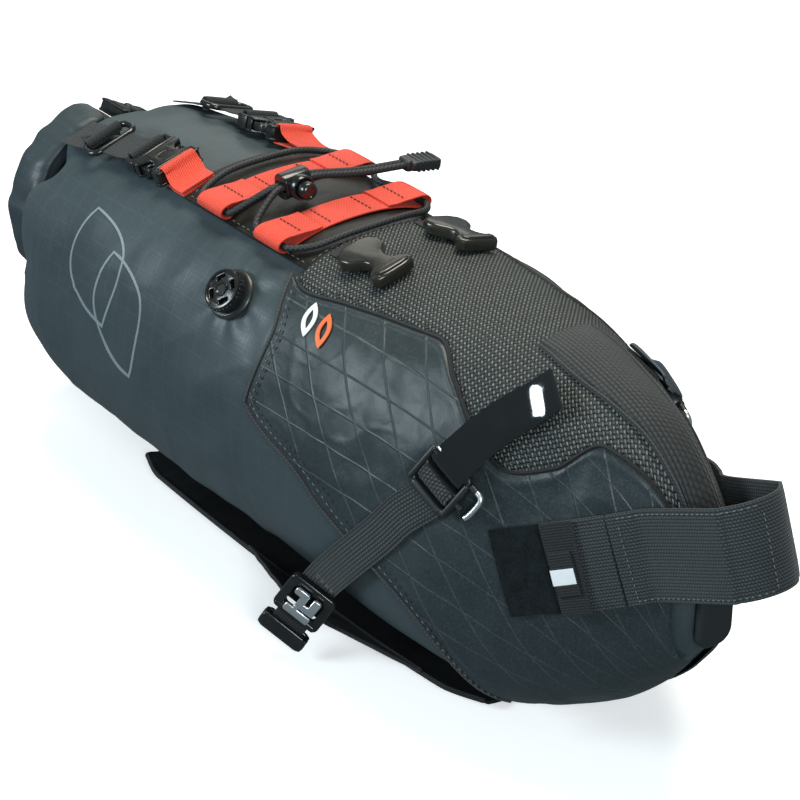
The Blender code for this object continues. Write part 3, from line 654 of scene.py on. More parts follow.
def smooth_line(points, step=1.5):
    """A smooth curve through given points, evenly spaced."""
    pts = np.array(points, float)
    padded = np.vstack([2 * pts[0] - pts[1], pts, 2 * pts[-1] - pts[-2]])
    dense = []
    for i in range(len(pts) - 1):
        a, b, c, d = padded[i:i + 4]
        for t in np.linspace(0, 1, 12, endpoint=False):
            dense.append(0.5 * (2 * b + (c - a) * t + (2 * a - 5 * b + 4 * c - d) * t * t
                                + (3 * b - a - 3 * c + d) * t ** 3))
    dense.append(pts[-1])
    return even(np.array(dense), step)


def distances(line):
    """How far along a line each of its points is."""
    return np.concatenate([[0], np.cumsum(np.linalg.norm(np.diff(line, axis=0), axis=1))])


def even(line, step):
    """The same line in equal steps."""
    run = distances(line)
    count = max(2, int(round(run[-1] / step)) + 1)
    at = np.linspace(0, run[-1], count)
    return np.stack([np.interp(at, run, line[:, k]) for k in range(3)], -1)


def runs_of(line):
    """Directions along a line."""
    return unit(np.gradient(line, axis=0))


def band(name, line, sides, width, thick, finish, bow=0.0, count=9, uv_shift=0.0, **rest):
    """Webbing along a line, a little thinner at its edges. Sides is its across direction, or one
    for each point of the line."""
    runs = runs_of(line)
    sides = unit(sides - runs * np.sum(sides * runs, -1, keepdims=True))
    outs = np.cross(runs, sides)
    v = np.linspace(-1, 1, count)
    v = np.sign(v) * (1 - (1 - np.abs(v)) ** 1.4)
    half = thick / 2 * (1 - 0.45 * np.abs(v) ** 7)
    middle = bow * (1 - v ** 2)
    base = line[:, None] + sides[:, None] * (v * width / 2)[None, :, None]
    outer = base + outs[:, None] * (middle + half)[None, :, None]
    inner = base + outs[:, None] * (middle - half)[None, :, None]
    step = distances(line)
    uv = np.stack(np.meshgrid(step + uv_shift, v * width / 2, indexing="ij"), -1)
    return cloth_shell(name, outer, inner, finish, uv=uv, **rest)


def rod(name, line, radius, finish, sides=10, closed=False, taper=None, **rest):
    """Round rod or cord along a line, with its ends closed."""
    line = np.asarray(line, float)
    runs = unit(np.roll(line, -1, 0) - np.roll(line, 1, 0)) if closed else runs_of(line)
    normal = np.cross(runs[0], (0, 0, 1.0) if abs(runs[0][2]) < 0.8 else (1.0, 0, 0))
    rings, round_ = [], np.linspace(0, 2 * math.pi, sides + 1)
    for k, (p, run) in enumerate(zip(line, runs)):
        normal = unit(normal - run * np.dot(normal, run))
        other = np.cross(run, normal)
        r = radius * (taper[k] if taper is not None else 1.0)
        rings.append(p + r * (np.cos(round_)[:, None] * normal + np.sin(round_)[:, None] * other))
    rings = np.array(rings)
    step = distances(line)
    uv = np.stack(np.meshgrid(step, np.linspace(0, 4, sides + 1), indexing="ij"), -1)
    m, n = rings.shape[:2]
    faces = grid_quads(m, n).tolist()
    verts, uv = rings.reshape(-1, 3), uv.reshape(-1, 2)
    if closed:
        faces += [[(m - 1) * n + j, (m - 1) * n + j + 1, j + 1, j] for j in range(n - 1)]
    else:
        for ring, p in ((0, line[0] - runs[0] * radius * 0.35),
                        ((m - 1) * n, line[-1] + runs[-1] * radius * 0.35)):
            faces += [[ring + j, ring + j + 1, len(verts)] for j in range(n - 1)]
            verts, uv = np.vstack([verts, p]), np.vstack([uv, uv[ring]])
    return mesh_piece(name, verts, faces, finish, uv=uv, weld=True, **rest)


def stitches(name, line, outs, finish=THREAD, length=2.6, gap=1.5, radius=0.32, lift=0.25, **rest):
    """A row of small thread stitches lying on a surface."""
    line = even(np.asarray(line, float), 0.5)
    if np.ndim(outs) == 1:
        outs = np.tile(outs, (len(line), 1))
    else:
        keep = np.linspace(0, len(outs) - 1, len(line)).round().astype(int)
        outs = np.asarray(outs)[keep]
    verts, faces = [], []
    pace = length + gap
    total = 0.5 * (len(line) - 1)
    for k in range(int(total // pace)):
        a = int((k * pace + gap / 2) / 0.5)
        b = min(int(a + length / 0.5), len(line) - 1)
        p, q, out = line[a], line[b], outs[(a + b) // 2]
        run = unit(q - p)
        side = unit(np.cross(out, run))
        first = len(verts)
        for t, size, rise_ in ((0.0, 0.35, -0.1), (0.2, 1.0, 0.15), (0.8, 1.0, 0.15),
                               (1.0, 0.35, -0.1)):
            c = p + (q - p) * t + out * (lift + rise_)
            for ang in (0.0, 1.257, 2.513, 3.770, 5.027):
                verts.append(c + radius * size * (side * math.cos(ang) + out * math.sin(ang)))
        for r in range(3):
            for j in range(5):
                a0, a1 = first + r * 5 + j, first + r * 5 + (j + 1) % 5
                faces.append([a0, a1, a1 + 5, a0 + 5])
        faces.append([first + j for j in range(5)])
        faces.append([first + 15 + j for j in range(5)])
    return mesh_piece(name, verts, faces, finish, angle=60, **rest)


def area_of(ring):
    """Signed area inside a ring, positive when it runs anticlockwise."""
    p = np.array(ring)
    q = np.roll(p, -1, 0)
    return float(np.sum(p[:, 0] * q[:, 1] - q[:, 0] * p[:, 1]) / 2)


def cut_plate(name, outline, low, high, at, finish, holes=(), soft=0.8, **rest):
    """A moulded plate: a flat outline with holes, its edges rounded, stood on a spot."""
    drawing = bpy.data.curves.new(name, "CURVE")
    drawing.dimensions, drawing.fill_mode = "2D", "BOTH"
    for k, ring in enumerate([outline, *holes]):
        ring = list(ring)
        if (area_of(ring) > 0) == (k > 0):
            ring = ring[::-1]
        spline = drawing.splines.new("POLY")
        spline.points.add(len(ring) - 1)
        for point, (u, v) in zip(spline.points, ring):
            point.co = (u * MM, v * MM, 0, 1)
        spline.use_cyclic_u = True
    soft = min(soft, (high - low) * 0.49)
    drawing.extrude = ((high - low) / 2 - soft) * MM
    drawing.bevel_depth, drawing.bevel_resolution = soft * MM, 2
    drawing.offset = -soft * MM
    obj = bpy.data.objects.new(name, drawing)
    bpy.context.scene.collection.objects.link(obj)
    alone(obj)
    bpy.ops.object.convert(target="MESH")
    obj = bpy.context.object
    bpy.ops.object.mode_set(mode="EDIT")
    bpy.ops.mesh.select_all(action="SELECT")
    bpy.ops.mesh.remove_doubles(threshold=2e-6)
    bpy.ops.mesh.normals_make_consistent(inside=False)
    bpy.ops.object.mode_set(mode="OBJECT")
    obj.data.transform(matrix_of(at, (low + high) / 2))
    return done(obj, finish, angle=rest.pop("angle", 32), **rest)


def turned(name, profile, at, finish, steps=48, **rest):
    """A round piece spun from (radius, height) pairs about the spot's outward direction."""
    bpy.ops.object.select_all(action="DESELECT")
    bpy.ops.mesh.primitive_plane_add(size=0.01)
    obj = bpy.context.object
    obj.name = obj.data.name = name
    bm = bmesh.new()
    line = [bm.verts.new((r * MM, 0, h * MM)) for r, h in profile]
    for a, b in zip(line, line[1:]):
        bm.edges.new((a, b))
    bm.to_mesh(obj.data)
    bm.free()
    bpy.ops.object.mode_set(mode="EDIT")
    bpy.ops.mesh.select_all(action="SELECT")
    bpy.ops.mesh.spin(steps=steps, angle=2 * math.pi, center=(0, 0, 0), axis=(0, 0, 1))
    bpy.ops.mesh.select_all(action="SELECT")
    bpy.ops.mesh.remove_doubles(threshold=2e-6)
    bpy.ops.mesh.normals_make_consistent(inside=False)
    bpy.ops.object.mode_set(mode="OBJECT")
    obj.data.transform(matrix_of(at))
    return done(obj, finish, **rest)


def rounded(length, width, radius, steps=4, du=0.0, dv=0.0):
    """Rounded rectangle about (du, dv)."""
    pts = []
    for cx, cy, start in ((1, 1, 0), (-1, 1, 90), (-1, -1, 180), (1, -1, 270)):
        for k in range(steps + 1):
            a = math.radians(start + 90 * k / steps)
            pts.append((cx * (length / 2 - radius) + radius * math.cos(a) + du,
                        cy * (width / 2 - radius) + radius * math.sin(a) + dv))
    return pts


def disc(radius, count=28, du=0.0, dv=0.0):
    """Points of a circle about (du, dv)."""
    return [(du + radius * math.cos(2 * math.pi * k / count),
             dv + radius * math.sin(2 * math.pi * k / count)) for k in range(count)]


def both_ways(half):
    """An outline from its +across half, front to rear or rear to front."""
    return list(half) + [(u, -v) for u, v in reversed(half)]


def joined(name, parts, body="bag", stands_for=(), slot=None):
    """Several made parts become one piece, keeping each part's finish."""
    for part in parts:
        part.parent = None
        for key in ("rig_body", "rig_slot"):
            if key in part:
                del part[key]
    bpy.context.view_layer.update()
    alone(parts[0])
    for part in parts:
        part.select_set(True)
    bpy.ops.object.join()
    obj = bpy.context.object
    obj.name = obj.data.name = name
    own_name(obj, [*stands_for, name])
    if stands_for:
        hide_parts(*stands_for)
    if slot:
        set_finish(obj, slot)
    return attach(obj, body)


# ---------------------------------------------------------------- shock cord, first
LOOP_H = 6.2
LOCK = seat(-58.2, 6.2, 12.6)


def strand(shift):
    """Straight run of the cord through the lock, far side first."""
    return [LOCK[0] + LOCK[2] * a + LOCK[1] * shift for a in (12, 4, -4, -12)]


CORD_RUN = (
    (-67, 23.2, 8.2), (-70, 25.2, 6.8), (-76, 25.5, LOOP_H), (-88, 25.5, LOOP_H),
    (-95, 25.0, LOOP_H), (-101, 19, 5.4), (-104, 8, 5.2), (-104, -8, 5.2), (-101, -19, 5.4),
    (-95, -25.0, LOOP_H), (-88, -25.5, LOOP_H), (-76, -25.5, LOOP_H), (-69, -25.0, LOOP_H),
    (-60, -22, 5.2), (-54, -22, 5.2), (-47, -25.0, LOOP_H), (-41, -25.5, LOOP_H),
    (-29, -25.5, LOOP_H), (-22, -25.0, LOOP_H), (-13, -19, 5.4), (-9, -8, 5.2), (-9, 8, 5.2),
    (-13, 19, 5.4), (-22, 25.0, LOOP_H), (-29, 25.5, LOOP_H), (-41, 25.5, LOOP_H),
    (-47, 25.0, 6.8), (-51.5, 22.0, 8.6),
)
STRAND_GAP = 1.95
TAB_SPOT = skin(-57, -30, 14.0) + np.array([4.0, 8.0, 2.5])
tab_run = unit(TAB_SPOT - strand(0.0)[0])
tab_side = unit(np.cross(np.array([0, 0, 1.0]), tab_run))
neck = TAB_SPOT - tab_run * 10.0
apart = tab_side * (1 if np.dot(tab_side, LOCK[1]) > 0 else -1) * STRAND_GAP
half_way = (neck + strand(0.0)[0]) / 2 - np.array([0, 0, 1.2])
cord_line = smooth_line([neck - apart, half_way - apart, *strand(-STRAND_GAP),
                         *[skin(*r) for r in CORD_RUN], *strand(STRAND_GAP)[::-1],
                         half_way + apart, neck + apart], 1.6)
shock_cord = rod("shock_cord", cord_line, 1.7, BRAID, 12, stands_for=["shock_cord"])

# ---------------------------------------------------------------- dry bag
VALVE_X, VALVE_PHI = -38.0, 49.0


def bag_relief(x, phi):
    """Dents, puckers and pleats of the filled bag, in millimetres from the plain surface."""
    p = skin(x, phi)
    side = np.abs(phi)
    hidden = rise(x, -14, -6)
    loose = 1 - hidden
    out = 0.9 * ripple(p, 95, 5, 3) + 0.35 * ripple(p, 34, 6, 8) - 0.5
    out = out + 0.55 * crease(p, 60, 4, 21) * bell(side, 95, 50)
    out = out - 1.5 * bell(side, 100, 16) * bell(x, -125, 90) * (0.6 + 0.4 * ripple(p, 70, 3, 5))
    # gathers round the valve
    valve = skin(VALVE_X, VALVE_PHI)
    d = p - valve
    far = np.linalg.norm(d, axis=-1)
    turn = np.arctan2(d[..., 2], d[..., 0])
    near_valve = bell(phi, VALVE_PHI, 40) * np.exp(-((far - 17) / 11) ** 2)
    out = out + near_valve * (0.75 * np.cos(7 * turn + 0.6 * np.sin(2 * turn)) - 0.4)
    out = out - 0.9 * bell(far, 0, 13) * bell(phi, VALVE_PHI, 60)
    # pulled in under the edge of the flap, and by the buckle straps
    out = out - 1.1 * bell(side, 30, 3.4) * rise(x, -135, -105)
    out = out + 0.7 * bell(side, 34.5, 3.0) * rise(x, -135, -105) * (0.6 + 0.4 * np.sin(x / 5.5))
    flat = bell(side, 18, 11) * rise(-x, 100, 112)
    out = out * (1 - 0.8 * flat) - 0.5 * flat
    # the holster's pull: folds that lean back from its lower seam
    lean = np.sin((x * 0.6 + side * 1.9) / 6.4 + 0.8 * ripple(p, 50, 3, 12))
    out = out + 1.1 * lean * bell(x, -38, 24) * bell(side, 92, 22)
    # pleats where the mouth is drawn together
    drawn = rise(-x, 196, 243)
    pleat = np.abs(np.sin(np.radians(phi) * 4.5 + 0.9 * np.sin(np.radians(phi) * 2 + 0.7)))
    anchored = 1 - 0.9 * bell(side, 22, 9)
    out = out - drawn * anchored * (5.5 * (1 - pleat) ** 1.4) * (0.5 + 0.5 * rise(side, 20, 60))
    fold = bell(side, 41 + (x + 225) * -0.10, 9.0) * rise(-x, 207, 240)
    out = out - 13.0 * fold
    out = out + 2.2 * bell(side, 27, 6) * rise(-x, 200, 236)
    covered = np.maximum(hidden * 0.75, bell(side, 0, 24) * rise(x, -118, -108))
    return np.minimum(out, 1.6) * (1 - covered) - 0.7 * covered * loose - 0.9 * hidden


BAG_X = np.concatenate([np.linspace(-246, -200, 34), np.linspace(-198, 20, 110),
                        np.linspace(24, 231, 48)])
BAG_PHI = np.linspace(-180, 180, 221)
grid_x, grid_phi = np.meshgrid(BAG_X, BAG_PHI, indexing="ij")
body = skin(grid_x, grid_phi) + outward(grid_x, grid_phi) * bag_relief(grid_x, grid_phi)[..., None]
RING_X, RING_Z, RING_R = -262.0, 108.0, 49.0


def ring_point(psi, radius=RING_R):
    """Points of the closure loop, psi degrees from the top towards -Y."""
    a = np.radians(psi)
    out = np.stack([0 * a, -np.sin(a), np.cos(a)], -1)
    return np.array([RING_X, 0, RING_Z]) + out * np.asarray(radius)[..., None], out


# the mouth: the cloth turns in behind the bag and goes into the roll, then closes
throat = []
for share, x, radius, wave in ((0.35, -251, 47, 3.5), (0.7, -255, 44.5, 4.0),
                               (1.0, -257.5, 41, 4.0), (1.0, -255, 36, 4.5), (1.0, -250, 28, 4.5),
                               (1.0, -247, 16, 3.0), (1.0, -246, 5, 0.5)):
    ring, _ = ring_point(BAG_PHI, radius + wave * np.sin(np.radians(BAG_PHI * 9 + 40)) * 0.6
                         - wave * 0.5)
    ring[:, 0] = x
    edge = body[0] * np.array([0, 1, 1]) + np.array([x, 0, 0])
    throat.append(edge * (1 - share) + ring * share)
nose_end = [np.array([[233.0, 0, 101.0]]) * 0.5 + body[-1] * 0.5,
            np.repeat(np.array([[233.6, 0, 101.0]]), len(BAG_PHI), 0)]
close = np.repeat(np.mean(throat[-1], axis=0, keepdims=True), len(BAG_PHI), 0)
nose_end[0][:, 0] = 233.2
rings = np.array([close, *throat[::-1], *body, *nose_end])
arc = distances(body[60])
arc -= arc[-1] / 2
xs_uv = np.concatenate([[-290], np.linspace(-282, -250, len(throat)), BAG_X, [233, 234]])
bag_uv = np.stack(np.meshgrid(xs_uv, arc, indexing="ij"), -1).reshape(-1, 2)
dry_bag = mesh_piece("dry_bag", rings.reshape(-1, 3), grid_quads(*rings.shape[:2]).tolist(), DRYBAG,
                     uv=bag_uv, weld=True, stands_for=["drybag_shell"], angle=70)

# the rolled-up mouth, bent round into a loop
psi = np.linspace(6, 281, 150)
round_ = np.linspace(0, 2 * math.pi, 49)
c, s = np.cos(round_), np.sin(round_)
wide = 14.0 * np.sign(c) * np.abs(c) ** 0.62
tall = 7.0 * np.sign(s) * np.abs(s) ** 0.75
kink = ((psi - 30) / 46.0) % 1.0
chord = math.cos(math.radians(9.0)) / np.cos(np.radians((kink - 0.5) * 18))
pinch = 0.55 * (bell(kink, 0.0, 0.09) + bell(kink, 1.0, 0.09))
rings = []
for k, (turn, flat, nip) in enumerate(zip(psi, chord, pinch)):
    ends = min(1.0, 0.86 + 0.14 * min(k, len(psi) - 1 - k) / 3)
    layers = 1 - 0.075 * bell(tall, 2.0, 0.9) - 0.06 * bell(tall, -2.6, 0.8)
    w = wide * ends * (1 + 0.06 * math.sin(turn * 0.11) + 0.03 * nip) * layers
    h = tall * ends * (1 - 0.14 * nip * (s < 0)) + 0.9 * (s > 0) * (1 - nip) - 1.2 * nip * (s > 0)
    h = h - 1.6 * (s < 0) * nip
    radius = RING_R * (0.35 + 0.65 * flat * 1.012) + h
    base, out = ring_point(np.full(len(c), turn), radius)
    base[:, 0] += w
    rings.append(base)
rings = np.array(rings)
rings = rings + (0.55 * ripple(rings, 26, 5, 31) + 0.3 * ripple(rings, 11, 5, 33))[..., None] * \
    unit(rings - np.array([RING_X, 0, RING_Z]))
m, n = rings.shape[:2]
faces = grid_quads(m, n).tolist()
verts = rings.reshape(-1, 3)
uv = np.stack(np.meshgrid(np.linspace(0, 235, m), np.linspace(0, 84, n), indexing="ij"), -1)
uv = uv.reshape(-1, 2)
for first, k in ((0, 0), ((m - 1) * n, m - 1)):
    for scale in (0.72, 0.40):
        inner = rings[k].mean(0) + (rings[k] - rings[k].mean(0)) * scale
        inner = inner + unit(rings[k].mean(0) - rings[1 if k == 0 else m - 2].mean(0)) * \
            (-1.6 if scale > 0.5 else -0.4)
        faces += [[first + j, first + j + 1, len(verts) + j + 1, len(verts) + j]
                  for j in range(n - 1)]
        first = len(verts)
        verts, uv = np.vstack([verts, inner]), np.vstack([uv, uv[:n] * scale])
    faces += [[first + j, first + j + 1, len(verts)] for j in range(n - 1)]
    verts, uv = np.vstack([verts, verts[first:first + n].mean(0)]), np.vstack([uv, uv[first]])
# The roll's cloth is the dry bag's cloth darkened: painted shade.
mesh_piece("roll_closure", verts, faces, ROLL_PAINTED_SHADE, uv=uv, weld=True, stands_for=["roll_closure"],
           angle=50)


def ring_band(name, start, end, width, finish, **rest):
    """Webbing round the closure loop, from one angle to another."""
    line, _ = ring_point(np.linspace(start, end, 24))
    return band(name, line, (1.0, 0, 0), width, 1.4, finish, **rest)


# ---------------------------------------------------------------- side-release buckles
WEB = 20.0  # width of the straps' webbing
BUCKLE_X, BUCKLE_PHI, BUCKLE_LIFT = -150.0, 19.5, 6.0


def female(name, at, k, stands):
    """Housing: two plates over an open throat, waisted so that the prongs show."""
    def sized(ring):
        return [(u * k, v * k) for u, v in ring]
    waist = both_ways([(0.4, 13.9), (4.0, 13.9), (5.2, 12.8), (6.2, 10.0), (8.2, 7.6), (11.2, 6.8),
                       (14.0, 7.7), (16.2, 9.9), (17.4, 12.6), (18.8, 13.9), (22.4, 13.9),
                       (23.8, 12.4)])
    slot = sized(rounded(3.4, 21.4, 1.6, du=20.4))
    scoop = sized(rounded(5.4, 8.0, 2.4, du=11.2))
    parts = [cut_plate(name + "_top", sized(waist), 2.5 * k, 4.2 * k, at, PLASTIC, [slot], 0.6),
             cut_plate(name + "_under", sized(waist), -4.2 * k, -2.5 * k, at, PLASTIC, [slot], 0.6),
             cut_plate(name + "_front",
                       sized(both_ways([(17.2, 13.2), (22.2, 13.2), (23.2, 12.0)])),
                       -3.0 * k, 3.0 * k, at, PLASTIC, [slot], 0.4),
             cut_plate(name + "_core", sized(both_ways([(3.0, 5.8), (8.4, 6.2), (11.2, 5.6),
                                                        (14.2, 6.4), (17.6, 9.6)])),
                       3.4 * k, 4.75 * k, at, OLIVE, [scoop], 0.5),
             cut_plate(name + "_dish", scoop, 2.6 * k, 3.7 * k, at, OLIVE, (), 0.3)]
    for side in (1, -1):
        rail = sized(rounded(3.6, 1.0, 0.4, du=2.6, dv=13.2 * side))
        parts.append(cut_plate(name + "_rail", rail, -3.0 * k, 3.0 * k, at, PLASTIC, (), 0.3))
    return joined(name, parts, "bag", stands, "black_plastic")


def male(name, at, k, body_name, stands):
    """Base bar, two sprung prongs with ringed lobes, and a centre guide."""
    def sized(ring):
        return [(u * k, v * k) for u, v in ring]
    lobe = [(10.6 + 3.7 * math.cos(math.radians(a)), 9.0 + 3.7 * math.sin(math.radians(a)))
            for a in range(120, -151, -30)]
    comb = both_ways([(-2.4, 12.6), (-0.6, 12.6), (4.5, 12.3), *lobe, (6.8, 8.6), (3.2, 9.2),
                      (2.2, 7.6), (2.2, 2.4), (3.4, 1.7), (13.4, 1.2)])
    eyes = [sized(disc(1.7, 16, 10.6, v)) for v in (9.0, -9.0)]
    base = both_ways([(-8.8, 12.8), (-7.8, 13.9), (-2.4, 13.9), (-0.8, 13.5)])
    slot = sized(rounded(3.4, 21.2, 1.5, du=-5.0))
    parts = [cut_plate(name + "_comb", sized(comb), -2.1 * k, 2.1 * k, at, PLASTIC, eyes, 0.5),
             cut_plate(name + "_base", sized(base), -3.6 * k, 3.6 * k, at, PLASTIC, [slot], 1.0)]
    for v in (9.0, -9.0):
        ring = cut_plate(name + "_lobe", sized(disc(3.3, 24, 10.6, v)), 1.6 * k, 2.45 * k, at,
                         PLASTIC, [sized(disc(2.0, 20, 10.6, v))], 0.35)
        parts.append(ring)
    return joined(name, parts, body_name, stands, "black_plastic")


def local_line(at, points):
    """Points given as forward, across and out from a spot."""
    centre, fwd, acr, out = at
    return [centre + fwd * u + acr * v + out * w for u, v, w in points]


for side, sign in SIDES:
    at = seat(BUCKLE_X, sign * BUCKLE_PHI, BUCKLE_LIFT)
    female("top_buckle_female_" + side, at, 1.0, ["top_buckle_female_" + side])
    male("top_buckle_male_" + side, at, 1.0, "top_male_" + side, ["top_buckle_male_" + side])
    # red tab folded over the front bar
    run = [skin(-108.5, sign * 20.6, 2.5), skin(-117, sign * 20.4, 1.9),
           *local_line(at, [(25.6, 0, -4.6), (22.4, 0, -4.9), (20.6, 0, -3.8), (20.3, 0, 0.0),
                            (20.6, 0, 3.9), (22.0, 0, 5.0), (24.6, 0, 4.6), (26.6, 0, 1.6)]),
           skin(-117.5, sign * 20.4, 4.6), skin(-109, sign * 20.6, 4.1)]
    line = smooth_line(run, 0.9)
    band("buckle_tab_" + side, line, at[2], WEB, 1.1, RED, stands_for=["buckle_tab_" + side],
         angle=60)
    # black strap folded over the rear bar, run back through the ring
    tail = smooth_line([*local_line(at, [(-16.5, 0, -2.6), (-11.5, 0, -3.9), (-8.6, 0, -4.4),
                                         (-6.2, 0, -4.3), (-5.0, 0, -2.4), (-5.0, 0, 2.2),
                                         (-6.2, 0, 4.5), (-8.6, 0, 4.5), (-10.4, 0, 1.6)]),
                        skin(-166, sign * 20.1, 6.6), skin(-174, sign * 20.5, 5.7),
                        skin(-184.0, sign * 20.9, 5.4)], 0.9)
    strap = band("tail_strap_" + side, tail, at[2], WEB, 1.2, BLACK,
                 stands_for=["tail_strap_" + side], angle=60, body=None)
    "top_male_" + side
    tuple(skin(-183.5, sign * 20.8, 5.5) * MM)
    tuple(skin(-161.5, sign * 19.9, 5.5) * MM)
    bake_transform(strap)
    # ring and the anchor that is welded to the bag
    ring_at = seat(-192, sign * 21.4, 5.6)
    loop = [ring_at[0] + ring_at[1] * u + ring_at[2] * v for u, v in rounded(13, 27, 5, 8)]
    rod("tail_ring_" + side, loop, 1.75, PLASTIC, 14, closed=True,
        stands_for=["tail_ring_" + side])
    wrap = smooth_line([skin(-228, sign * 23, 1.3), skin(-214, sign * 22.6, 2.0),
                        skin(-204, sign * 22, 2.9), skin(-200.2, sign * 21.8, 4.6),
                        *local_line(ring_at, [(-9.0, 0, 0.4), (-7.4, 0, 2.4), (-5.2, 0, 2.3),
                                              (-3.8, 0, 0.0), (-5.2, 0, -2.4)])], 0.9)
    band("tail_anchor_" + side, wrap, ring_at[2], WEB + 1.0, 1.1, BLACK,
         stands_for=["tail_anchor_" + side], angle=60)

# ---------------------------------------------------------------- closure straps and buckle
p, out = ring_point(np.array(-25.0))
tangent = np.array([0, math.cos(math.radians(25)), -math.sin(math.radians(25))])
roll_at = (p + tangent * 4, -tangent, np.array([1.0, 0, 0]), out)
female("roll_buckle_female", roll_at, 0.86, ["roll_buckle_female"])
male("roll_buckle_male", roll_at, 0.86, "roll_male", ["roll_buckle_male"])
ring_band("roll_strap_right", 7.5, -2.6, 21.0, BLACK, stands_for=["roll_strap_right"])
strap = ring_band("roll_strap_left", -43.0, -80.0, 18.5, BLACK, stands_for=["roll_strap_left"],
                  body=None)
near, _ = ring_point(np.array(-52.0))
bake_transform(strap)

# ---------------------------------------------------------------- purge valve
valve = seat(VALVE_X, VALVE_PHI, 0.5)
turned("valve_base", [(5.6, -1.4), (11.6, -1.4), (12.6, -0.8), (12.9, 0.1), (12.5, 0.9),
                      (11.9, 1.2), (11.6, 1.9), (7.0, 2.45), (5.6, 2.3), (5.6, -1.4)],
       valve, MATT, 64, stands_for=["valve_base"])
slots = []
for k in range(4):
    a = math.radians(45 + 90 * k)
    ring = rounded(2.6, 5.2, 0.6, 2)
    slots.append([((6.4 + u) * math.cos(a) - v * math.sin(a),
                   (6.4 + u) * math.sin(a) + v * math.cos(a)) for u, v in ring])
parts = [cut_plate("valve_face", disc(9.0, 48), 6.0, 7.6, valve, PLASTIC, slots, 0.35),
         turned("valve_wall", [(0.0, 2.7), (9.6, 2.7), (10.4, 3.2), (10.6, 5.4), (10.5, 7.2),
                               (10.0, 8.2), (9.2, 8.4), (8.7, 8.0), (8.6, 6.6), (8.0, 5.4),
                               (0.0, 5.2)], valve, PLASTIC, 64),
         turned("valve_hub", [(0.0, 7.4), (3.3, 7.4), (3.6, 7.7), (3.5, 8.3), (3.0, 8.5),
                              (2.5, 8.2), (2.2, 7.9), (0.0, 7.9)], valve, PLASTIC, 32)]
for k in range(30):
    a = 2 * math.pi * k / 30
    centre, fwd, acr, out = valve
    away = fwd * math.cos(a) + acr * math.sin(a)
    grip = (centre + away * 10.5, out, np.cross(away, out) * -1, away)
    parts.append(cut_plate("valve_grip", rounded(3.6, 1.0, 0.4, 1, du=5.2), -0.3, 0.35, grip,
                           PLASTIC, (), 0.25))
joined("valve_cap", parts, "valve_cap", ["valve_cap"], "black_plastic")

# ---------------------------------------------------------------- holster
WEAVE_EDGE = smooth_through([(-13, 29), (4, 34), (30, 31), (65, 28), (88, 27.5), (109, 40),
                             (129, 53), (150, 62), (170, 55), (186, 37), (205, 36), (228, 42)])
LOWER_EDGE = smooth_through([(-13, 60), (-2, 78), (42, 88), (80, 96), (118, 108), (140, 126),
                             (152, 150), (163, 170), (228, 170)])
REAR_EDGE = smooth_through([(0, -10), (0.45, 3), (1, -1)])
EDGE_GAP = 1.4
PANEL_LOW, PANEL_HIGH = 1.6, 3.2  # the panels' inner and outer face above the bag
PANEL_FRONT = 228
GIRTH_X, GIRTH_PHI = np.linspace(-120, 236, 179), np.linspace(0, 180, 361)
girth_rings = skin(*np.meshgrid(GIRTH_X, GIRTH_PHI, indexing="ij"))[..., 1:]
GIRTH = np.concatenate([np.zeros((len(GIRTH_X), 1)), np.cumsum(np.linalg.norm(
    np.diff(girth_rings, axis=1), axis=-1), axis=1)], 1)


def round_from_top(x, phi):
    """Distance round the bag from its top line, signed by side."""
    gx = np.clip((x - GIRTH_X[0]) / 2.0, 0, len(GIRTH_X) - 1.001)
    gp = np.clip(np.abs(phi) * 2.0, 0, len(GIRTH_PHI) - 1.001)
    i, j = gx.astype(int), gp.astype(int)
    a, b = gx - i, gp - j
    near = GIRTH[i, j] * (1 - b) + GIRTH[i, j + 1] * b
    far = GIRTH[i + 1, j] * (1 - b) + GIRTH[i + 1, j + 1] * b
    return (near * (1 - a) + far * a) * np.sign(phi)


def belly_bulge(x, phi):
    """The holster stands a little off the bag where its belly turns up to the nose."""
    return 1.5 * bell(x, 154, 17) * bell(np.abs(phi), 145, 30)


def sewn_sheet(name, x, phi, relief, low, high, finish, **rest):
    """Cloth lying on the bag, with its own dents; its UV is distance along and round."""
    lift = belly_bulge(x, phi)
    out = outward(x, phi)
    outer = skin(x, phi, high + lift) + out * relief[..., None]
    inner = skin(x, phi, low + lift)
    round_ = round_from_top(x, phi)
    if np.all(phi <= 0):
        round_ = -round_
    uv = np.stack([x, round_], -1)
    return cloth_shell(name, outer, inner, finish, uv=uv, **rest)


